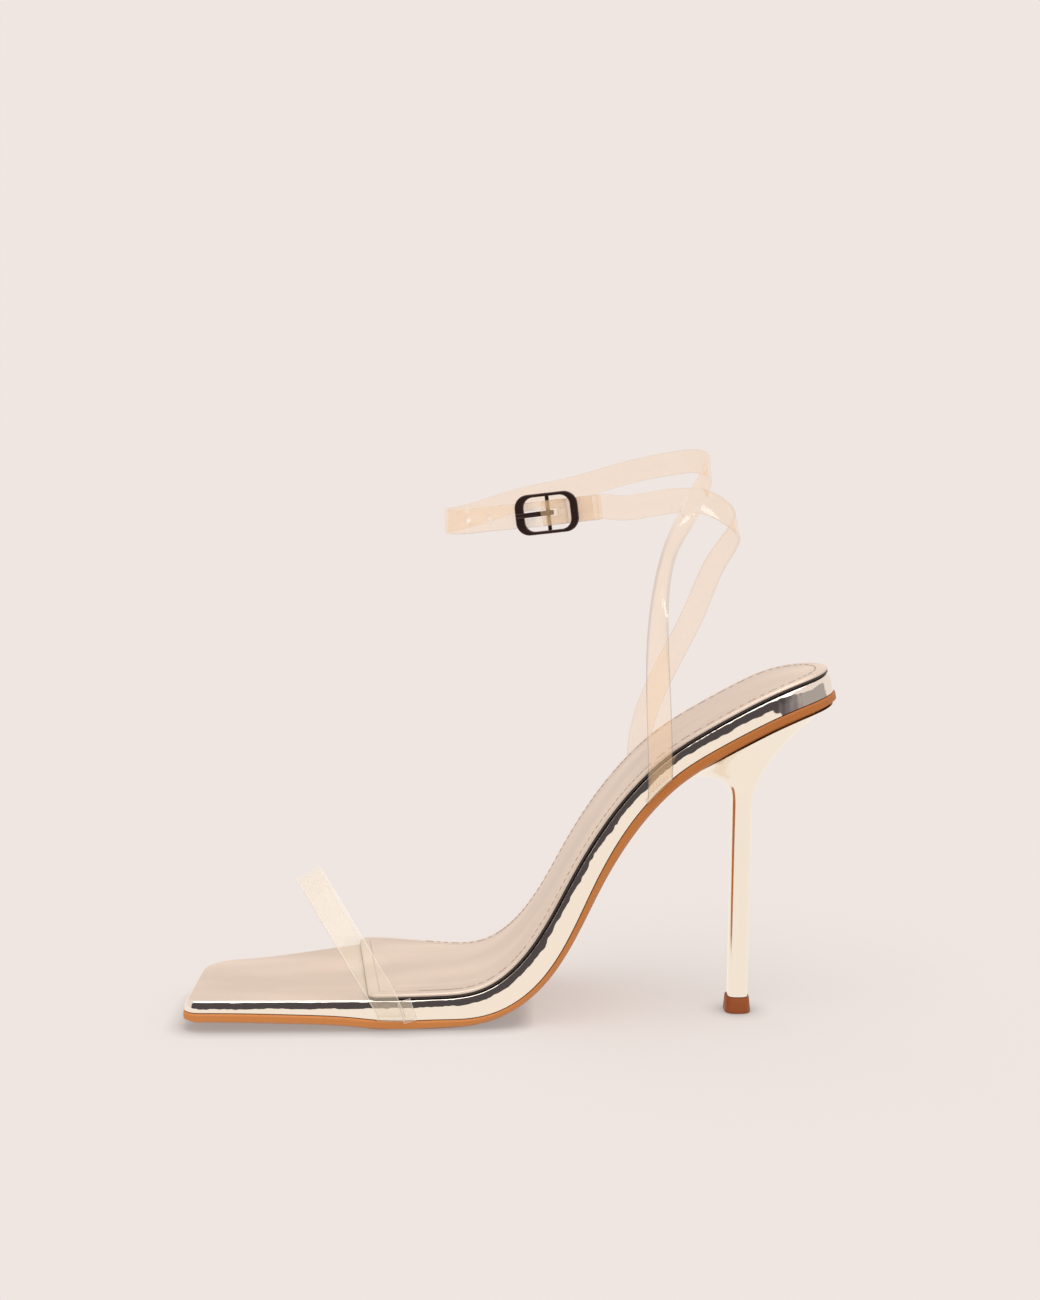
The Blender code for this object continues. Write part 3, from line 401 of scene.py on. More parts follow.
def natural_spline(xs, ys):
    """Smooth curve through the given values, straight on past its ends."""
    xs = np.array(xs)
    ys = np.array(ys)
    count = len(xs)
    gaps = np.diff(xs)
    rises = np.diff(ys) / gaps
    system = np.eye(count)
    right = np.zeros(count)
    for i in range(1, count - 1):
        system[i, i - 1:i + 2] = (gaps[i - 1], 2 * (gaps[i - 1] + gaps[i]), gaps[i])
        right[i] = 6 * (rises[i] - rises[i - 1])
    bends = np.linalg.solve(system, right)

    def value(x):
        i = int(np.clip(np.searchsorted(xs, x) - 1, 0, count - 2))
        t = x - xs[i]
        gap = gaps[i]
        start = rises[i] - gap * (2 * bends[i] + bends[i + 1]) / 6
        if x < xs[0]:
            return ys[0] + start * t
        if x > xs[-1]:
            end = rises[-1] + gap * (bends[-2] + 2 * bends[-1]) / 6
            return ys[-1] + end * (x - xs[-1])
        return ys[i] + start * t + bends[i] * t ** 2 / 2 + (bends[i + 1] - bends[i]) * t ** 3 / (6 * gap)

    return value


def along_sole(rows, column, scale):
    """Curve through one column of a table, against the place along the sole."""
    places = [row.along * SOLE_LENGTH for row in rows]
    return natural_spline(places, [getattr(row, column) * scale for row in rows])


footbed_height = along_sole(FOOTBED, "height", SEAT_HEIGHT)
inner_edge = along_sole(OUTLINE, "inner", SOLE_WIDTH)
outer_edge = along_sole(OUTLINE, "outer", SOLE_WIDTH)
whole_depth = along_sole(DEPTH, "depth", SOLE_THICKNESS)
outsole_thickness = along_sole(DEPTH, "outsole", OUTSOLE_THICKNESS)


def width_at(along):
    """Middle of the sole and half of its width."""
    inner = inner_edge(along)
    outer = outer_edge(along)
    return (inner + outer) / 2, (outer - inner) / 2


def edge_on(side):
    return inner_edge if side < 0 else outer_edge


def slope_at(curve, along):
    return (curve(along + SLOPE_STEP) - curve(along - SLOPE_STEP)) / (2 * SLOPE_STEP)


def place(along, across, depth):
    """Point under the footbed line: from the toe, from the inner side, square into the sole."""
    slope = slope_at(footbed_height, along)
    stretch = math.hypot(1.0, slope)
    height = footbed_height(along) - depth / stretch
    return Vector((along + depth * slope / stretch, across, max(height, 0.0)))


def top_of_outsole(along):
    return whole_depth(along) - outsole_thickness(along)


def bottom_of_board(along):
    return top_of_outsole(along) - SEAM


def along_above(x, depth_at):
    """Place on the footbed line whose point, sunk by the depth, ends at this x."""
    along = x
    for settle in range(SETTLE_ROUNDS):
        along += (x - place(along, 0.0, depth_at(along)).x) / 2
    return along


def rim(side, along):
    """Middle of a strap that runs down the sole's edge, in plan, and the level way out from there."""
    edge = edge_on(side)
    outward = Vector((-slope_at(edge, along), 1.0, 0.0)).normalized() * side
    lower_edge = edge(along_above(along, bottom_of_board))
    widest = max(side * lower_edge, side * edge(along)) * side
    return Vector((along, widest, 0.0)) + outward * (SEAM + STRAP_THICKNESS / 2), outward


def toe_foot(side, along):
    """Foot of the toe strap: on the rim, its way out, and where it leans to at the outsole."""
    foot, outward = rim(side, along)
    backward = Vector((outward.y, -outward.x, 0.0)) * side
    return foot, outward, foot + backward * TOE_STRAP_TAB_LEAN


def edges(front, back, inset, corners, slant=0.0):
    """Pairs of plan points, inner and outer, from the front edge to the rounded back."""
    start = front + inset
    middle = back - BACK_ROUND
    radius = BACK_ROUND - inset
    inner_corner = max(corners[0] - inset, MM)
    outer_corner = max(corners[1] - inset, MM)
    stops = [start + outer_corner * (1 - math.cos(math.radians(angle))) for angle in CORNER_ANGLES]
    count = max(2, round((middle - front - corners[1]) / ALONG_STEP))
    stops += [stops[-1] + (middle - stops[-1]) * i / count for i in range(1, count + 1)]
    pairs = []
    for along in stops:
        reach = along - start
        near = inner_edge(along) + inset + corner_cut(reach, inner_corner)
        far = outer_edge(along) - inset - corner_cut(reach, outer_corner)
        shift = slant * (middle - along) / (middle - start)
        pairs.append(((along, near), (along - shift, far)))
    centre, half = width_at(middle)
    half -= inset
    for angle in BACK_ANGLES:
        turn = math.radians(angle)
        along = middle + radius * math.sin(turn)
        pairs.append(((along, centre - half * math.cos(turn)), (along, centre + half * math.cos(turn))))
    return pairs


def corner_cut(reach, radius):
    """How much a rounded corner takes off the width at this distance from the front."""
    if reach >= radius:
        return 0.0
    return radius - math.sqrt(max(radius ** 2 - (radius - reach) ** 2, 0.0))


def new_object(name, verts, faces, looks, smooth_angle=SMOOTH_ANGLE, slots=None):
    """One closed body in the model's place, its faces turned outward, with a look for each face."""
    mesh = bpy.data.meshes.new(name)
    mesh.from_pydata([tuple(v + SHIFT) for v in verts], [], faces)
    if slots:
        mesh.polygons.foreach_set("material_index", slots)
    work = bmesh.new()
    work.from_mesh(mesh)
    bmesh.ops.recalc_face_normals(work, faces=work.faces[:])
    work.to_mesh(mesh)
    work.free()
    mesh.shade_smooth()
    mesh.set_sharp_from_angle(angle=math.radians(smooth_angle))
    for look in looks or ():
        mesh.materials.append(look)
    piece = bpy.data.objects.new(name, mesh)
    bpy.context.collection.objects.link(piece)
    return piece


def joined(count, base, other):
    """Faces between two rings of points, from the first point of each."""
    return [(base + i, base + (i + 1) % count, other + (i + 1) % count, other + i) for i in range(count)]


def layered(name, layers, looks, row_slots=None, cap_slots=(0, 0)):
    """Solid from outlines stacked from the top down, closed straight across between edge pairs."""
    verts = []
    faces = []
    slots = []
    pair_count = len(layers[0])
    ring = 2 * pair_count
    for layer in layers:
        verts += [near for near, far in layer]
        verts += [far for near, far in reversed(layer)]
    for level in range(len(layers) - 1):
        faces += joined(ring, level * ring, (level + 1) * ring)
        slots += [row_slots[level] if row_slots else 0] * ring
    for slot, base in zip(cap_slots, (0, (len(layers) - 1) * ring)):
        for i in range(pair_count - 1):
            faces.append((base + i, base + i + 1, base + ring - 2 - i, base + ring - 1 - i))
            slots.append(slot)
    return new_object(name, verts, faces, looks, SMOOTH_ANGLE, slots)


def sole_layer(pairs, depth_at):
    """Edge pairs sunk into the sole by a depth that may change along it."""
    return [(place(*near, depth_at(near[0])), place(*far, depth_at(far[0]))) for near, far in pairs]


def sole_slab(name, front, back, rows, corners, looks, slant=0.0, row_slots=None, cap_slots=(0, 0)):
    """Layer of the sole: each row is an inset and a depth function, from the top down."""
    layers = [sole_layer(edges(front, back, inset, corners, slant), depth_at) for inset, depth_at in rows]
    return layered(name, layers, looks, row_slots, cap_slots)


def loft_faces(rings, base=0):
    """Faces of a solid through rings with the same number of points, with flat ends."""
    count = len(rings[0])
    last = base + (len(rings) - 1) * count
    faces = []
    for low in range(base, last, count):
        faces += joined(count, low, low + count)
    return faces + [tuple(range(base, base + count)), tuple(range(last, last + count))]


def lofted(name, rings, looks, smooth_angle=SMOOTH_ANGLE, strip_slots=None):
    """Solid through rings, with a slot for each strip of faces along it."""
    verts = [point for ring in rings for point in ring]
    strip_slots = strip_slots or [0] * len(rings[0])
    slots = list(strip_slots) * (len(rings) - 1) + [max(strip_slots)] * 2
    return new_object(name, verts, loft_faces(rings), looks, smooth_angle, slots)


def combine(piece, other, operation):
    """Boolean of two closed bodies, worked out at once, after which the second is gone."""
    modifier = piece.modifiers.new("combine", "BOOLEAN")
    modifier.operation = operation
    modifier.solver = "EXACT"
    modifier.object = other
    bpy.context.view_layer.update()
    depsgraph = bpy.context.evaluated_depsgraph_get()
    result = bpy.data.meshes.new_from_object(piece.evaluated_get(depsgraph))
    piece.modifiers.clear()
    piece.data = result
    bpy.data.objects.remove(other)
    return piece


def thinned(points):
    """Indexes of the points that keep each bend under BEND_STEP and each run under LONG_STEP."""
    kept = [0]
    heading = (points[1] - points[0]).normalized()
    for i in range(1, len(points) - 1):
        ahead = (points[i + 1] - points[i]).normalized()
        bend = heading.angle(ahead)
        run = (points[i] - points[kept[-1]]).length
        if bend > BEND_STEP or run > LONG_STEP:
            kept.append(i)
            heading = ahead
    kept.append(len(points) - 1)
    return kept


def smooth_through(reach, vectors):
    """Smooth curve of vectors, against the way along a path."""
    curves = [natural_spline(reach, [vector[axis] for vector in vectors]) for axis in range(3)]
    return lambda way: Vector([curve(way) for curve in curves])


def arc(turns, radius, middle=0.0):
    """Points on a circle, at turns in degrees, its middle raised by a height."""
    angles = [math.radians(turn) for turn in turns]
    return [(radius * math.cos(angle), middle + radius * math.sin(angle)) for angle in angles]


def full_turn(count):
    return [360.0 * i / count for i in range(count)]


def rounded_rectangle(left, right, half_height, corner, turns):
    """Points round a rectangle with round corners, from its right side on."""
    points = []
    upper = half_height - corner
    for x, y, start in (
        (right - corner, upper, 0), (left + corner, upper, 90),
        (left + corner, -upper, 180), (right - corner, -upper, 270),
    ):
        for across, up in arc([start + turn for turn in turns], corner):
            points.append((x + across, y + up))
    return points


def way_ahead(points, i):
    """From the point before to the point after."""
    return points[min(i + 1, len(points) - 1)] - points[max(i - 1, 0)]


def strap_section(width, thickness):
    """Rectangle with eased corners, and for each of its sides 1 on the narrow edges and 0 on the faces."""
    ease = min(STRAP_EDGE_ROUND, thickness / 3)
    section = rounded_rectangle(-width / 2, width / 2, thickness / 2, ease, STRAP_EDGE_TURNS)
    eased = [1] * (len(STRAP_EDGE_TURNS) - 1)
    return section, (eased + [0] + eased + [1]) * 2


def ribbon(name, points, widths_along, width, thickness, looks):
    """Flat strap along a path; widths_along gives its width direction at each given point."""
    runs = [(b - a).length for a, b in zip(points, points[1:])]
    reach = np.concatenate(([0.0], np.cumsum(runs)))
    middle_at = smooth_through(reach, points)
    side_at = smooth_through(reach, [side.normalized() for side in widths_along])
    count = int(reach[-1] / PATH_STEP)
    ways = [reach[-1] * i / count for i in range(count + 1)]
    dense = [middle_at(way) for way in ways]
    section, slots = strap_section(width, thickness)
    rings = []
    for i in thinned(dense):
        heading = way_ahead(dense, i).normalized()
        side = side_at(ways[i])
        side = (side - heading * side.dot(heading)).normalized()
        face = side.cross(heading).normalized()
        rings.append([dense[i] + side * across + face * over for across, over in section])
    if len(looks) == 1:
        slots = None
    return lofted(name, rings, looks, STRAP_EDGE_ANGLE, slots)


def new_look(name, colour, roughness, metallic=0.0, **sockets):
    """Material whose plain values sit on its shader's own sockets."""
    look = bpy.data.materials.new(name)
    look.use_nodes = True
    shader = look.node_tree.nodes["Principled BSDF"]
    shader.inputs["Base Color"].default_value = (*colour, 1.0)
    shader.inputs["Roughness"].default_value = roughness
    shader.inputs["Metallic"].default_value = metallic
    for socket, value in sockets.items():
        shader.inputs[socket.replace("_", " ")].default_value = value
    look.diffuse_color = (*colour, 1.0)
    return look


def add_node(look, kind, **values):
    """Node with values for its sockets or, where it has no such socket, for its settings."""
    node = look.node_tree.nodes.new(kind)
    for key, value in values.items():
        socket = key.replace("_", " ")
        if socket in node.inputs:
            node.inputs[socket].default_value = value
        else:
            setattr(node, key, value)
    return node


def wire(look, start, start_socket, end, end_socket):
    look.node_tree.links.new(start.outputs[start_socket], end.inputs[end_socket])


def shader_of(look):
    return look.node_tree.nodes["Principled BSDF"]


def noise(look, scale, detail=2.0, stretch=(1.0, 1.0, 1.0)):
    """Noise in the model's own space; a larger stretch makes it finer along that axis."""
    place_node = add_node(look, "ShaderNodeTexCoord")
    mapping = add_node(look, "ShaderNodeMapping", Scale=stretch)
    texture = add_node(look, "ShaderNodeTexNoise", Scale=scale, Detail=detail)
    wire(look, place_node, "Object", mapping, "Vector")
    wire(look, mapping, "Vector", texture, "Vector")
    return texture


def bump(look, texture, distance, after=None):
    node = add_node(look, "ShaderNodeBump", Distance=distance)
    wire(look, texture, "Fac", node, "Height")
    if after:
        wire(look, after, "Normal", node, "Normal")
    wire(look, node, "Normal", shader_of(look), "Normal")
    return node


def tint(look, texture, output, first, last, low=0.35, high=0.65):
    """Colour that goes from one value to another with a texture."""
    ramp = add_node(look, "ShaderNodeValToRGB")
    for element, position, colour in zip(ramp.color_ramp.elements, (low, high), (first, last)):
        element.position = position
        element.color = (*colour, 1.0)
    wire(look, texture, output, ramp, "Fac")
    wire(look, ramp, "Color", shader_of(look), "Base Color")


def foil_look(row):
    """Mirror foil, pulled slightly uneven over what it wraps."""
    look = new_look(row.name + "_look", row.colour, row.roughness, 1.0)
    broad = bump(look, noise(look, FOIL_BROAD, WAVE_DETAIL, FOIL_STRETCH), row.wave)
    fine = noise(look, FOIL_FINE, WAVE_DETAIL, FOIL_STRETCH)
    bump(look, fine, row.wave * FOIL_FINE_SHARE, after=broad)
    return look


def satin_look():
    look = new_look("satin_look", SATIN_LIGHT, SATIN_ROUGHNESS, SATIN_METALLIC)
    patches = noise(look, SATIN_PATCHES, SATIN_PATCH_DETAIL, SATIN_STREAKS)
    tint(look, patches, "Fac", SATIN_DARK, SATIN_LIGHT)
    grain = bump(look, noise(look, SATIN_GRAIN), SATIN_GRAIN_DEPTH)
    bump(look, noise(look, SATIN_WAVES), SATIN_WAVE, after=grain)
    return look


def ramp_along(look, axis, start, end):
    """Share from 0 to 1 between two places along an axis of the model."""
    place_node = add_node(look, "ShaderNodeTexCoord")
    split = add_node(look, "ShaderNodeSeparateXYZ")
    share = add_node(look, "ShaderNodeMapRange", From_Min=start, From_Max=end)
    wire(look, place_node, "Object", split, "Vector")
    wire(look, split, axis, share, "Value")
    return share


def outsole_look():
    look = new_look("outsole_look", OUTSOLE_TOE, OUTSOLE_ROUGHNESS, Specular_IOR_Level=OUTSOLE_SHINE)
    # Painted shade: the outsole darkens from the toe towards the heel
    along = ramp_along(look, "X", -SOLE_LENGTH / 2, SOLE_LENGTH / 2)
    tint(look, along, "Result", OUTSOLE_TOE, OUTSOLE_HEEL_SHADED, *OUTSOLE_SHADE_FADE)
    bump(look, noise(look, OUTSOLE_GRAIN, OUTSOLE_GRAIN_DETAIL), OUTSOLE_GRAIN_DEPTH)
    return look


def plastic_look(row):
    """Clear plastic: thin on the face, denser where it is seen edge on."""
    look = new_look(
        row.name + "_look", row.colour, PLASTIC_ROUGHNESS, IOR=PLASTIC_IOR, Specular_IOR_Level=1.0)
    weight = add_node(look, "ShaderNodeLayerWeight", Blend=PLASTIC_TURN)
    ramp = add_node(look, "ShaderNodeMapRange", To_Min=row.facing, To_Max=row.edge)
    wire(look, weight, "Facing", ramp, "Value")
    wire(look, ramp, "Result", shader_of(look), "Alpha")
    bump(look, noise(look, PLASTIC_WAVES, WAVE_DETAIL), PLASTIC_WAVE)
    return look


def paint_shade_on_quarter_edge(look, colour):
    """Painted shade: darker edges low on the inner side, where the inner quarter strap is."""
    height = ramp_along(look, "Z", *QUARTER_EDGE_HEIGHT)
    side = ramp_along(look, "Y", *QUARTER_EDGE_SIDE)
    either = add_node(look, "ShaderNodeMath", operation="MAXIMUM")
    wire(look, height, "Result", either, 0)
    wire(look, side, "Result", either, 1)
    tint(look, either, "Value", QUARTER_EDGE_PAINTED_SHADE, colour, 0.0, 1.0)


def grained_look(row):
    look = new_look(
        row.name + "_look", row.colour, row.roughness, row.metallic, Specular_IOR_Level=row.shine)
    bump(look, noise(look, row.grain), row.depth)
    return look


def make_looks():
    looks = {"satin": satin_look(), "outsole": outsole_look()}
    for rows, make_look in ((FOILS, foil_look), (PLASTICS, plastic_look), (GRAINED, grained_look)):
        for row in rows:
            looks[row.name] = make_look(row)
            # The ankle straps' edge look also gets painted shade on the inner quarter strap's edges
            if row.name == "plastic_edge":
                paint_shade_on_quarter_edge(looks[row.name], row.colour)
    return looks


def rim_profile():
    """Inset and depth below the board's top down the rounded rim, tight first and then slow."""
    change = math.radians(RIM_CHANGE)
    rows = []
    for turn in RIM_TURNS:
        angle = math.radians(turn)
        if angle >= change:
            out = RIM_TIGHT * math.cos(angle)
            down = RIM_TIGHT * (1 - math.sin(angle))
        else:
            out = RIM_TIGHT * math.cos(change) + RIM_SLOW * (math.cos(angle) - math.cos(change))
            down = RIM_TIGHT * (1 - math.sin(change)) + RIM_SLOW * (math.sin(change) - math.sin(angle))
        rows.append((out, down))
    widest = rows[-1][0]
    return [(widest - out, down) for out, down in rows]


def build_board(looks):
    board_top = SOCK_THICKNESS + SEAM
    profile = rim_profile()
    lowest = board_top + profile[-1][1]

    def at(depth):
        return lambda along: min(depth, bottom_of_board(along))

    def wall(share):
        def depth(along):
            bottom = bottom_of_board(along)
            return min(lowest, bottom) * (1 - share) + bottom * share
        return depth

    rows = [(inset, at(board_top + down)) for inset, down in profile]
    rows += [(0.0, wall(i / RIM_WALL_ROWS)) for i in range(1, RIM_WALL_ROWS + 1)]
    corners = (TOE_CORNER_INNER, TOE_CORNER_OUTER)
    board_looks = (looks["foil"], looks["satin"])
    return sole_slab("wrapped_board_skin", 0.0, SOLE_LENGTH, rows, corners, board_looks, cap_slots=(1, 0))


def build_outsole(looks):
    def chamfer_top(along):
        return whole_depth(along) - OUTSOLE_CHAMFER

    def eased_top(along):
        return top_of_outsole(along) + OUTSOLE_EASE

    rows = [
        (OUTSOLE_EASE - OUTSOLE_LIP, top_of_outsole),
        (-OUTSOLE_LIP, eased_top),
        (-OUTSOLE_LIP, chamfer_top),
        (OUTSOLE_CHAMFER_WIDTH, whole_depth),
    ]
    corners = (TOE_CORNER_INNER, TOE_CORNER_OUTER)
    return sole_slab("outsole_skin", 0.0, SOLE_LENGTH, rows, corners, (looks["outsole"],))


def build_sock(looks):
    def at(depth):
        return lambda along: depth

    plateau = SOCK_MARGIN + CUSHION_MARGIN + CUSHION_SHOULDER
    rows = []
    for turn in CUSHION_TURNS:
        angle = math.radians(turn)
        inset = plateau - CUSHION_SHOULDER * turn / CUSHION_TURNS[-1]
        rows.append((inset, at(-CUSHION_RISE * (1 + math.cos(2 * angle)) / 2)))
    for side in (1, -1):
        rows.append((SOCK_MARGIN + STITCH_INSET + side * SEAM_LINE_WIDTH / 2, at(0.0)))
    seam_row = len(rows) - 2
    for turn in SOCK_EDGE_TURNS:
        angle = math.radians(turn)
        inset = SOCK_MARGIN + SOCK_EDGE_EASE * (1 - math.sin(angle))
        rows.append((inset, at(SOCK_EDGE_EASE * (1 - math.cos(angle)))))
    rows.append((SOCK_MARGIN, at(SOCK_THICKNESS)))
    # The sock's side wall and underside take the near-black edge look: its dark cut edge with painted shade
    row_slots = [0] * (len(rows) - 2) + [1]
    row_slots[seam_row] = 2
    corners = (SOCK_CORNER, SOCK_CORNER)
    sock_looks = (looks["satin"], looks["sock_edge"], looks["seam_line"])
    return sole_slab(
        "sock_skin", SOCK_START, SOLE_LENGTH, rows, corners, sock_looks, SOCK_SLANT, row_slots, (0, 1))


def stitch(centre, heading, up):
    """One stitch: a low bead along the seam, as rings of a squashed capsule."""
    side = up.cross(heading).normalized() * STITCH_WIDTH / 2
    rings = []
    for share, swell in STITCH_SWELLS:
        middle = centre + heading * share * STITCH_LENGTH / 2
        circle = arc(full_turn(STITCH_SIDES), swell)
        rings.append([middle + side * across + up * over * STITCH_HEIGHT for across, over in circle])
    return rings


def build_stitches(looks):
    """Stitches round the sock's rim, joined into one mesh."""
    corners = (SOCK_CORNER, SOCK_CORNER)
    pairs = edges(SOCK_START, SOLE_LENGTH, SOCK_MARGIN + STITCH_INSET, corners)
    outline = [near for near, far in pairs] + [far for near, far in reversed(pairs)]
    points = [place(along, across, -STITCH_HEIGHT / 4) for along, across in outline]
    verts = []
    faces = []
    waited = 0.0
    for i, (a, b) in enumerate(zip(points, points[1:])):
        run = (b - a).length
        waited += run
        if waited < STITCH_PITCH or outline[i][0] < STITCH_START:
            continue
        waited -= STITCH_PITCH
        heading = (b - a).normalized()
        along = outline[i][0]
        up = (place(along, 0.0, 0.0) - place(along, 0.0, MM)).normalized()
        rings = stitch((a + b) / 2, heading, up)
        faces += loft_faces(rings, len(verts))
        verts += [point for ring in rings for point in ring]
    return new_object("sock_stitches", verts, faces, (looks["thread"],), STITCH_EDGE_ANGLE)


def rounded_section(centre, half_length, half_width, height, turns):
    """Level ring round the heel: a rectangle with well rounded corners."""
    ring = []
    for turn in turns:
        c = math.cos(turn)
        s = math.sin(turn)
        x = math.copysign(abs(c) ** (2 / COLUMN_SQUARENESS), c) * half_length
        y = math.copysign(abs(s) ** (2 / COLUMN_SQUARENESS), s) * half_width
        ring.append(Vector((centre[0] + x, centre[1] + y, height)))
    return ring


def build_heel(looks):
    """Slim column that spreads like a horn to the seat, and the tip under it."""
    turns = [math.pi - math.pi * (i + 0.5) / HEEL_SIDES for i in range(HEEL_SIDES)]
    back = SOLE_LENGTH - HEEL_INSET
    middle = SOLE_LENGTH - BACK_ROUND
    seat_middle = (HEEL_FRONT + back) / 2
    seat_half = (back - HEEL_FRONT) / 2
    column_centre = width_at(middle)[0] + HEEL_SIDE_SHIFT

    def seat_pair(turn):
        """Point pair under the outsole: straight across in front, round at the back."""
        c = math.cos(turn)
        along = seat_middle + seat_half * math.copysign(abs(c) ** SEAT_SPACING, c)
        depth = whole_depth(along) + SEAM
        centre, half = width_at(min(along, middle))
        half -= HEEL_INSET
        if along > middle:
            half *= math.sqrt(1 - min((along - middle) / (back - middle), 1.0) ** 2)
        elif c < 0:
            half *= math.sin(turn) ** SEAT_FRONT_ROUND
        return place(along, centre - half, depth), place(along, centre + half, depth)

    def column_pair(turn, height):
        share = 1 - height / COLUMN_TOP
        centre = (HEEL_AXIS - COLUMN_LEAN * share, column_centre)
        ring = rounded_section(centre, COLUMN_LENGTH / 2, COLUMN_WIDTH / 2, height, (-turn, turn))
        return ring[0], ring[1]

    def spread_pair(turn, rise):
        """Between the column and the seat: quick at the back, a tight fillet in front."""
        rear = (1 + math.cos(turn)) / 2
        fillet = 1 - (1 - rise ** HEEL_FRONT_FILLET) ** (1 / HEEL_FRONT_FILLET)
        outward = rear * rise ** HEEL_BACK_FLARE + (1 - rear) * fillet
        shares = Vector((outward, outward, rise))
        ends = zip(column_pair(turn, COLUMN_TOP), seat_pair(turn))
        return [low + (high - low) * shares for low, high in ends]

    layers = [[seat_pair(turn) for turn in turns]]
    for rise in HEEL_RISES:
        layers.append([spread_pair(turn, rise) for turn in turns])
    foot = TIP_HEIGHT + SEAM
    for share in COLUMN_SHARES:
        height = COLUMN_TOP + (foot - COLUMN_TOP) * share
        layers.append([column_pair(turn, height) for turn in turns])
    heel = layered("heel_skin", layers, (looks["heel"],))

    full_turns = [math.pi * i / HEEL_SIDES for i in range(2 * HEEL_SIDES)]
    tip_centre = (HEEL_AXIS - COLUMN_LEAN, column_centre)
    tip_rows = table(
        "height spread",
        (TIP_HEIGHT, TIP_SPREAD - TIP_TOP_EASE),
        (TIP_HEIGHT - TIP_TOP_EASE, TIP_SPREAD),
        (TIP_EDGE_ROUND, TIP_FOOT_SPREAD),
        (TIP_EDGE_ROUND * TIP_ROUND_SHARE, TIP_FOOT_SPREAD - TIP_EDGE_ROUND * TIP_ROUND_SHARE),
        (0.0, TIP_FOOT_SPREAD - TIP_EDGE_ROUND),
    )
    rings = []
    for row in tip_rows:
        half_length = COLUMN_LENGTH / 2 + row.spread
        half_width = COLUMN_WIDTH / 2 + row.spread
        rings.append(rounded_section(tip_centre, half_length, half_width, row.height, full_turns))
    tip = lofted("heel_tip_skin", rings, (looks["tip"],), TIP_EDGE_ANGLE)
    return heel, tip


def tuck(side, along, looks):
    """Strap end under the board: a flat tab on the outsole's top."""
    middle = along_above(along, bottom_of_board)
    rings = []
    for share in TUCK_SHARES:
        at = middle + share * TUCK_WIDTH / 2
        edge = edge_on(side)(at)
        outer = edge + side * (SEAM + STRAP_THICKNESS)
        inner = edge - side * TUCK_DEPTH
        low = bottom_of_board(at)
        high = low - STRAP_THICKNESS
        around = ((outer, high), (inner, high), (inner, low), (outer, low))
        rings.append([place(at, across, depth) for across, depth in around])
    return lofted("tab", rings, looks, STRAP_EDGE_ANGLE)


def under_cutter(side, along):
    """Block that fills what lies below the board's underside round a strap end."""
    middle = along_above(along, bottom_of_board)
    wide = Vector((0, 3 * TUCK_WIDTH, 0))
    deep = Vector((0, 0, 2 * SOLE_THICKNESS))
    rings = []
    for share in CUTTER_SHARES:
        at = middle + TUCK_WIDTH * share
        high = place(at, edge_on(side)(at), bottom_of_board(at))
        rings.append([high + wide, high - wide, high - deep - wide, high - deep + wide])
    return lofted("under", rings, None)


def seat_on_sole(strap, side, along):
    """Cut a strap off at the outsole and give it its tucked tab."""
    combine(strap, under_cutter(side, along), "DIFFERENCE")
    combine(strap, tuck(side, along, tuple(strap.data.materials)), "UNION")


def build_toe_strap(plastic):
    """Clear strap over the toes, leaning forward, with its ends tucked under the board."""
    near, near_out, near_low = toe_foot(-1, TOE_STRAP_INNER)
    far, far_out, far_low = toe_foot(1, TOE_STRAP_OUTER)
    shoulder = footbed_height(TOE_STRAP_INNER) - SOCK_THICKNESS

    def arch(angle):
        share = (1 - math.cos(angle)) / 2
        x = near.x + (far.x - near.x) * share - TOE_STRAP_LEAN * math.sin(angle)
        y = near.y + (far.y - near.y) * share
        return Vector((x, y, shoulder + TOE_STRAP_RISE * math.sin(angle)))

    tab_end = Vector((0, 0, shoulder - TOE_FOOT_DROP))
    points = [arch(math.pi * i / TOE_STRAP_STEPS) for i in range(TOE_STRAP_STEPS + 1)]
    points = [near_low + tab_end, *points, far_low + tab_end]
    sides = []
    for i in range(len(points)):
        angle = math.pi * min(max(i - 1, 0), TOE_STRAP_STEPS) / TOE_STRAP_STEPS
        facing = math.cos(angle)
        outward = near_out * max(facing, 0.0) + far_out * max(-facing, 0.0)
        outward += Vector(TOE_STRAP_FACING) * math.sin(angle)
        sides.append(outward.cross(way_ahead(points, i)))
    strap = ribbon("toe_strap_skin", points, sides, TOE_STRAP_WIDTH, STRAP_THICKNESS, plastic)
    seat_on_sole(strap, -1, near_low.x)
    seat_on_sole(strap, 1, far_low.x)
    return strap


def ankle_point(turn, height, out=0.0):
    """Point on the opening round the ankle, and the way out from it."""
    heights = [row.height for row in BACK_SHIFT]
    shift = np.interp(height / ANKLE_HEIGHT, heights, [row.shift for row in BACK_SHIFT]) * ANKLE_WIDTH
    back = ANKLE_BACK - ANKLE_BACK_LEAN * (height - ANKLE_BACK_HEIGHT) + shift
    centre = (back + ANKLE_FRONT) / 2
    half_length = (back - ANKLE_FRONT) / 2
    half_width = ANKLE_WIDTH / 2
    c = math.cos(math.radians(turn))
    s = math.sin(math.radians(turn))
    outward = Vector((c / half_length, -s / half_width, 0)).normalized()
    return Vector((centre + half_length * c, ANKLE_CENTRE - half_width * s, height)) + outward * out, outward


def buckle_frame():
    """Middle of the buckle's bar and its three directions: along, up across the strap, outward."""
    on_form, outward = ankle_point(BUCKLE_TURN, ANKLE_HEIGHT)
    tilt = math.radians(BUCKLE_TILT)
    level = Vector((-outward.y, outward.x, 0))
    along = level * math.cos(tilt) + Vector((0, 0, math.sin(tilt)))
    across = outward.cross(along)
    leg = on_form - outward * LEG_TO_STRAP
    return leg, along, across, outward


def in_buckle(place_along, over_leg, across_by=0.0):
    leg, along, across, outward = buckle_frame()
    return leg + along * place_along + across * across_by + outward * over_leg


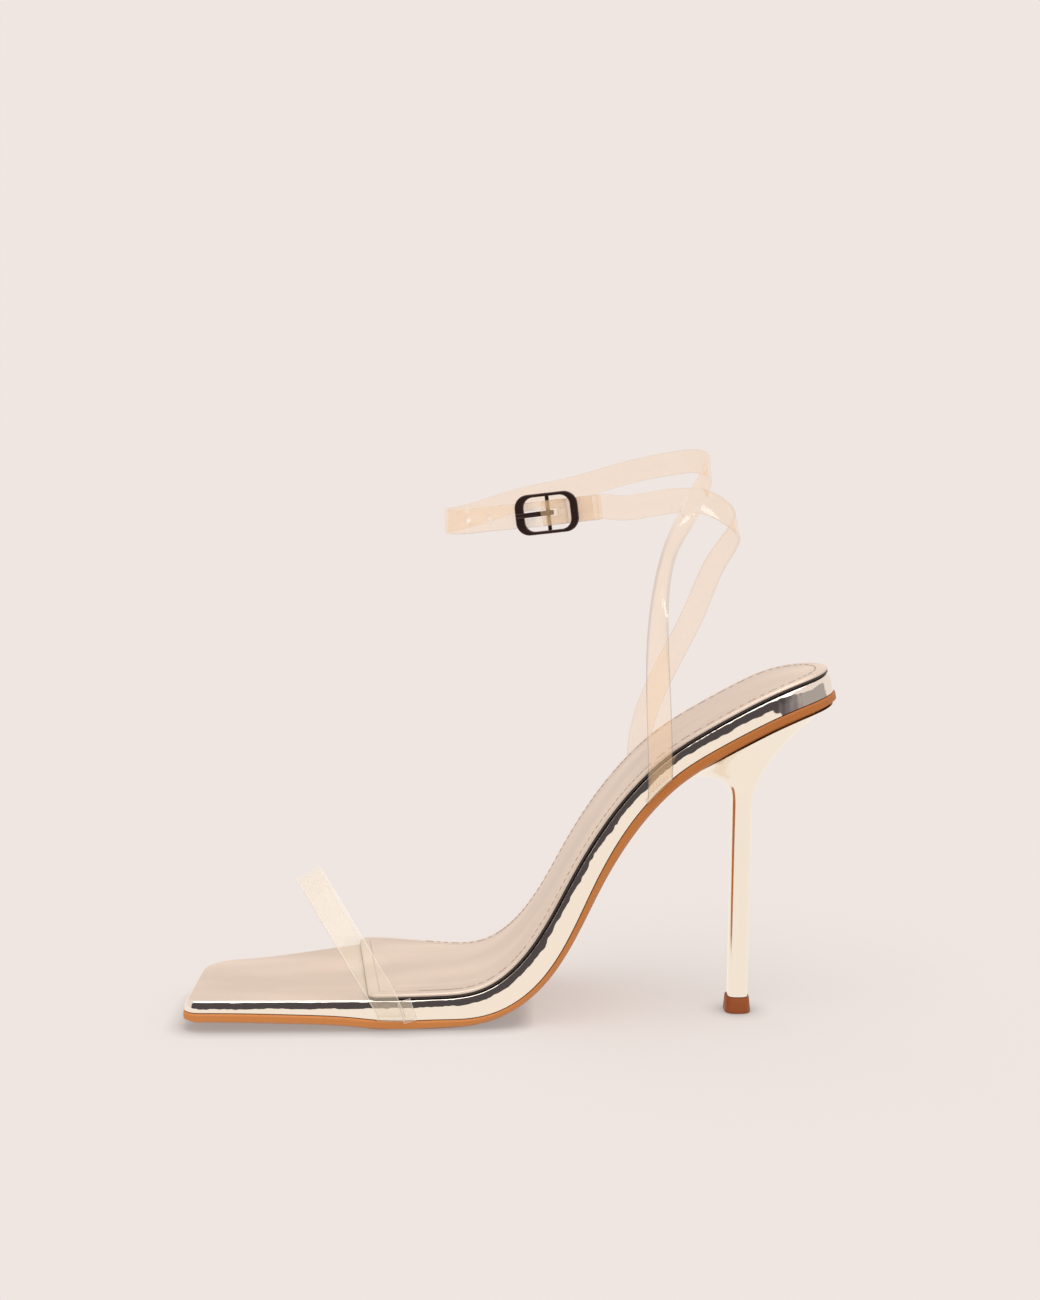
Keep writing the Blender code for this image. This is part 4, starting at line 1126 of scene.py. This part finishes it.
def strap_sides(points, outwards, twists):
    """Width direction at each point of a strap that lies round the leg, twisted by so many degrees."""
    sides = []
    for i in range(len(points)):
        ahead = way_ahead(points, i)
        side = outwards[i].cross(ahead).normalized()
        sides.append(Quaternion(ahead.normalized(), math.radians(twists[i])) @ side)
    return sides


def quarter_foot(side, along):
    """Two points of a quarter strap on the rim of the sole, low and high."""
    foot, outward = rim(side, along)
    top = Vector((0, 0, footbed_height(along)))
    return [foot + top - Vector((0, 0, QUARTER_FOOT_DROP)), foot + top], [outward, outward]


def build_inner_strap(plastic):
    """From the inner side of the sole, back round the ankle and forward to the buckle."""
    points, outwards = quarter_foot(-1, QUARTER_INNER)
    twists = [0.0] * len(points)
    for row in INNER_STRAP:
        point, outward = ankle_point(row.turn, row.height * ANKLE_HEIGHT)
        points.append(point)
        outwards.append(outward)
        twists.append(row.twist)
    for row in TAIL_THROUGH:
        half = BUCKLE_LEFT if row.along < 0 else BUCKLE_RIGHT
        points.append(in_buckle(row.along * half, row.level * STACK))
        outwards.append(buckle_frame()[3])
        twists.append(0.0)
    sides = strap_sides(points, outwards, twists)
    return ribbon("ankle_straps_skin", points, sides, STRAP_WIDTH, STRAP_THICKNESS, plastic)


def build_outer_strap(plastic):
    """From the outer side, back round outside the inner strap and forward, looped on the bar."""
    points, outwards = quarter_foot(1, QUARTER_OUTER)
    for row in OUTER_STRAP:
        point, outward = ankle_point(row.turn, row.height * ANKLE_HEIGHT, row.step * CROSSING_STEP)
        points.append(point)
        outwards.append(outward)
    sides = strap_sides(points, outwards, [0.0] * len(points))
    loop = BAR_RADIUS + BAR_CLEARANCE + STRAP_THICKNESS / 2
    inner_level = BAR_LEVEL - loop
    outer_level = inner_level + STRAP_THICKNESS + SEAM
    outer_leg = [
        (TAIL_LENGTH + STRAP_THICKNESS, outer_level),
        (BUCKLE_RIGHT, outer_level),
        (LOOP_NECK, outer_level + LOOP_HUMP),
    ]
    inner_leg = [(LOOP_NECK, inner_level), (BUCKLE_RIGHT, inner_level), (TAIL_LENGTH, inner_level)]
    for place_along, level in outer_leg + arc(LOOP_TURNS, loop, BAR_LEVEL) + inner_leg:
        points.append(in_buckle(place_along, level))
        sides.append(-buckle_frame()[2])
    return ribbon("outer_strap", points, sides, STRAP_WIDTH, STRAP_THICKNESS, plastic)


def buckle_box(name, run, low, high, width, look=None):
    """Block in the buckle's own directions: along from run[0] to run[1], over from low to high."""
    half = width / 2
    corners = ((high, half), (high, -half), (low, -half), (low, half))
    rings = [[in_buckle(along, over, across) for over, across in corners] for along in run]
    return lofted(name, rings, look)


def cut_slot(strap, run, width):
    """Slot for the prong through everything that lies in the buckle."""
    cutter = buckle_box("slot", run, LEG_TO_STRAP - CUT_THROUGH, LEG_TO_STRAP + CUT_THROUGH, width)
    combine(strap, cutter, "DIFFERENCE")


def cut_hole(strap, middle):
    """Round hole through the strap."""
    circle = arc(full_turn(HOLE_SIDES), HOLE_RADIUS)
    rings = []
    for level in (LEG_TO_STRAP - CUT_THROUGH, LEG_TO_STRAP + CUT_THROUGH):
        rings.append([in_buckle(middle + along, level, across) for along, across in circle])
    combine(strap, lofted("hole", rings, None), "DIFFERENCE")


def build_ankle_straps(plastic):
    """Both ankle straps, joined where they cross, with the buckle's slot and holes."""
    inner = build_inner_strap(plastic)
    slot_width = PRONG_WIDTH + 2 * SEAM
    for share in HOLE_PLACES:
        cut_hole(inner, share * HOLE_PITCH)
    cut_slot(inner, PRONG_SLOT, slot_width)

    outer = build_outer_strap(plastic)
    weld_run = (WELD_PLACE - WELD_LENGTH / 2, WELD_PLACE + WELD_LENGTH / 2)
    weld_low = BAR_LEVEL - BAR_RADIUS - BAR_CLEARANCE - STRAP_THICKNESS / 2
    weld_high = weld_low + STRAP_THICKNESS + SEAM
    weld = buckle_box("weld", weld_run, weld_low, weld_high, STRAP_WIDTH - 2 * SEAM, plastic)
    combine(outer, weld, "UNION")
    cut_slot(outer, LOOP_SLOT, slot_width)

    seat_on_sole(inner, -1, rim(-1, QUARTER_INNER)[0].x)
    seat_on_sole(outer, 1, rim(1, QUARTER_OUTER)[0].x)
    return combine(inner, outer, "UNION")


def build_buckle_loop(metal):
    """Closed frame of the buckle, its edges eased."""
    inner_left = BUCKLE_LEFT_END - BUCKLE_LEFT
    inner_right = BUCKLE_RIGHT - BUCKLE_RIGHT_END
    half = BUCKLE_HEIGHT / 2
    inner_half = half - BUCKLE_SIDE
    inner_corner = BUCKLE_CORNER - BUCKLE_SIDE
    low = FRAME_LEVEL - BUCKLE_THICKNESS / 2
    top = FRAME_LEVEL + BUCKLE_THICKNESS / 2
    upward = table(
        "over ease",
        (low, BUCKLE_EDGE_ROUND), (low + BUCKLE_EDGE_ROUND, 0.0),
        (top - BUCKLE_EDGE_ROUND, 0.0), (top, BUCKLE_EDGE_ROUND),
    )

    def loop(left, right, half_height, corner, over):
        around = rounded_rectangle(left, right, half_height, corner, BUCKLE_CORNER_TURNS)
        return [in_buckle(along, over, across) for along, across in around]

    rings = []
    for over, ease in upward:
        left = ease - BUCKLE_LEFT
        right = BUCKLE_RIGHT - ease
        rings.append(loop(left, right, half - ease, BUCKLE_CORNER - ease, over))
    for over, ease in reversed(upward):
        left = inner_left - ease
        right = inner_right + ease
        rings.append(loop(left, right, inner_half + ease, inner_corner + ease, over))
    count = len(rings[0])
    verts = [point for ring in rings for point in ring]
    faces = []
    for level in range(len(rings)):
        faces += joined(count, level * count, (level + 1) % len(rings) * count)
    return new_object("buckle_frame_skin", verts, faces, metal)


def build_bar(metal):
    """Round bar that dips from one side of the frame to the other, below the free strap."""
    side = BUCKLE_HEIGHT / 2 - BUCKLE_SIDE / 2
    dip = table(
        "across over",
        (side, FRAME_LEVEL), (side, BAR_LEVEL + 2 * BAR_RADIUS),
        (side - 0.35 * BAR_RADIUS, BAR_LEVEL + 0.6 * BAR_RADIUS), (side - BAR_RADIUS, BAR_LEVEL),
    )
    path = [Vector((row.across, row.over)) for row in dip]
    path += [Vector((-row.across, row.over)) for row in reversed(dip)]
    rings = []
    for i, middle in enumerate(path):
        run = way_ahead(path, i).normalized()
        ring = []
        for sideways, along in arc(full_turn(BAR_SIDES), BAR_RADIUS):
            sideways *= BAR_FLATNESS
            ring.append(in_buckle(along, middle.y + sideways * run.x, middle.x - sideways * run.y))
        rings.append(ring)
    return lofted("bar", rings, metal)


def build_prong(metal):
    """Flat prong that hooks round the bar and rests on the frame's front end."""
    hook = BAR_RADIUS + SEAM + PRONG_THICKNESS / 2
    places = arc(HOOK_TURNS, hook, BAR_LEVEL)
    places += [(row.along * BUCKLE_LEFT, row.level * STACK) for row in PRONG_RUN]
    points = [in_buckle(along, level) for along, level in places]
    sides = [buckle_frame()[2]] * len(points)
    return ribbon("buckle_prong_skin", points, sides, PRONG_WIDTH, PRONG_THICKNESS, metal)


def build_toe_fold(looks):
    """End of the toe strap's lining strip, which shows behind its near foot."""
    foot, outward, low = toe_foot(-1, TOE_STRAP_INNER)
    footbed = footbed_height(TOE_STRAP_INNER)
    back = Vector((TOE_STRAP_WIDTH / 2 + FOLD_WIDTH * FOLD_SHOWN, 0, 0))
    inward = outward * (STRAP_THICKNESS - FOLD_THICKNESS) / -2
    top = Vector((foot.x, foot.y, footbed - SOCK_THICKNESS)) + back + inward
    bottom = Vector((low.x - FOLD_LEAN, low.y, footbed - top_of_outsole(low.x))) + back + inward
    points = [bottom, (top + bottom) / 2, top]
    sides = [outward.cross(top - bottom)] * 3
    return ribbon("toe_strap_fold", points, sides, FOLD_WIDTH, FOLD_THICKNESS, looks)


def dress(piece, slot, *nodes):
    if nodes:
        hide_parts(*nodes)
    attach(piece, "root")


def build_sandal():
    looks = make_looks()
    plastic = (looks["plastic"], looks["plastic_edge"])
    metal = (looks["buckle"],)
    dress(build_board(looks), "mirror_foil", "wrapped_board")
    dress(build_outsole(looks), "outsole", "outsole")
    dress(build_sock(looks), "satin_sock", "sock")
    dress(build_stitches(looks), "satin_sock")
    heel, tip = build_heel(looks)
    dress(heel, "mirror_foil", "heel")
    dress(tip, "heel_tip", "heel_tip")
    toe_plastic = (looks["toe_plastic"], looks["toe_plastic_edge"])
    dress(build_toe_strap(toe_plastic), "clear_plastic", "toe_strap")
    dress(build_toe_fold(toe_plastic), "clear_plastic")
    dress(build_ankle_straps(plastic), "clear_plastic", "ankle_straps")
    buckle = combine(build_buckle_loop(metal), build_bar(metal), "UNION")
    dress(buckle, "buckle_metal", "buckle_frame")
    dress(build_prong(metal), "buckle_metal", "buckle_prong")


def flat_stage(name, corners, look):
    """Flat piece of the studio from its four corners."""
    mesh = bpy.data.meshes.new(name)
    mesh.from_pydata(corners, [], [(0, 1, 2, 3)])
    mesh.materials.append(look)
    piece = bpy.data.objects.new(name, mesh)
    bpy.context.collection.objects.link(piece)
    return piece


def build_card(row):
    """Flat studio card that is only seen reflected and lights nothing itself."""
    look = bpy.data.materials.new(row.name + "_look")
    look.use_nodes = True
    nodes = look.node_tree.nodes
    nodes.remove(nodes["Principled BSDF"])
    glow = add_node(look, "ShaderNodeEmission", Color=(*row.colour, 1.0), Strength=row.strength)
    if row.strength_right != row.strength:
        fade = ramp_along(look, "X", *CARD_FADE)
        fade.inputs["To Min"].default_value = row.strength
        fade.inputs["To Max"].default_value = row.strength_right
        wire(look, fade, "Result", glow, "Strength")
    wire(look, glow, "Emission", nodes["Material Output"], "Surface")

    turned = row.left == row.right
    corners = [
        (row.left, row.front, row.low),
        (row.right, row.back if turned else row.front, row.low),
        (row.right, row.back, row.high),
        (row.left, row.front if turned else row.back, row.high),
    ]
    piece = flat_stage(row.name, corners, look)
    for ray in ("camera", "diffuse", "shadow", "transmission"):
        setattr(piece, "visible_" + ray, False)


def floor_look():
    """Pale floor that partly glows, so that shadows stay soft, with a painted contact shadow: a close dark
    line where ambient occlusion finds the sole.
    """
    albedo = (1 - FLOOR_GLOW) / (1 + SUN_SHARE)
    look = new_look("floor_look", (albedo,) * 3, FLOOR_ROUGHNESS, Specular_IOR_Level=0.0)
    shader_of(look).inputs["Emission Color"].default_value = (*SURROUND, 1.0)
    # Painted shadow: ambient occlusion darkens the floor's colour and glow close to the sole
    near = add_node(
        look, "ShaderNodeAmbientOcclusion", Distance=PAINTED_SHADOW_REACH, samples=PAINTED_SHADOW_SAMPLES)
    tint(look, near, "AO", (albedo * PAINTED_SHADOW_DARK,) * 3, (albedo,) * 3, PAINTED_SHADOW_OPEN, 1.0)
    glow = add_node(
        look, "ShaderNodeMapRange",
        From_Min=PAINTED_SHADOW_OPEN, To_Min=FLOOR_GLOW * PAINTED_SHADOW_DARK, To_Max=FLOOR_GLOW)
    wire(look, near, "AO", glow, "Value")
    wire(look, glow, "Result", shader_of(look), "Emission Strength")
    return look


def build_studio():
    """Pale floor and even surroundings of one colour, a broad sun, and cards for the foil to mirror."""
    scene = bpy.context.scene
    scene.view_settings.view_transform = "Standard"
    world = bpy.data.worlds.new("surroundings")
    scene.world = world
    world.use_nodes = True
    background = world.node_tree.nodes["Background"]
    background.inputs["Color"].default_value = (*SURROUND, 1.0)
    background.inputs["Strength"].default_value = 1.0

    reach = FLOOR_REACH
    corners = [(-reach, -reach, 0), (reach, -reach, 0), (reach, reach, 0), (-reach, reach, 0)]
    flat_stage("floor", corners, floor_look())

    sun = bpy.data.lights.new("sun", "SUN")
    sun.energy = SUN_SHARE * math.pi / math.cos(SUN_TILT)
    sun.color = SURROUND
    sun.angle = SUN_SPREAD
    lamp = bpy.data.objects.new("sun", sun)
    lamp.rotation_euler = (SUN_TILT, 0.0, 0.0)
    bpy.context.collection.objects.link(lamp)

    for row in CARDS:
        build_card(row)


def build_camera():
    camera = bpy.data.cameras.new("camera")
    camera.sensor_fit = "VERTICAL"
    camera.sensor_height = SENSOR
    camera.lens = CAMERA_FOCAL_PX / IMAGE_HEIGHT_PX * SENSOR
    camera.clip_start = CLIP_NEAR
    camera.clip_end = CLIP_FAR
    piece = bpy.data.objects.new("camera", camera)
    pose = Matrix.Translation(CAMERA_PLACE)
    for angle, axis in ((-CAMERA_YAW, "Z"), (math.pi / 2 - CAMERA_TILT, "X"), (-CAMERA_ROLL, "Z")):
        pose = pose @ Matrix.Rotation(angle, 4, axis)
    piece.matrix_world = pose
    bpy.context.collection.objects.link(piece)
    bpy.context.scene.camera = piece


def shift_to_model():
    """From the sole's own corner to the model's origin, by the middle of the heel tip."""
    low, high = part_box("heel_tip")
    column_centre = width_at(SOLE_LENGTH - BACK_ROUND)[0] + HEEL_SIDE_SHIFT
    along = (low.x + high.x) / 2 - (HEEL_AXIS - COLUMN_LEAN)
    across = (low.y + high.y) / 2 - column_centre
    return Vector((along, across, 0.0))


SHIFT = shift_to_model()
build_sandal()
build_studio()
build_camera()
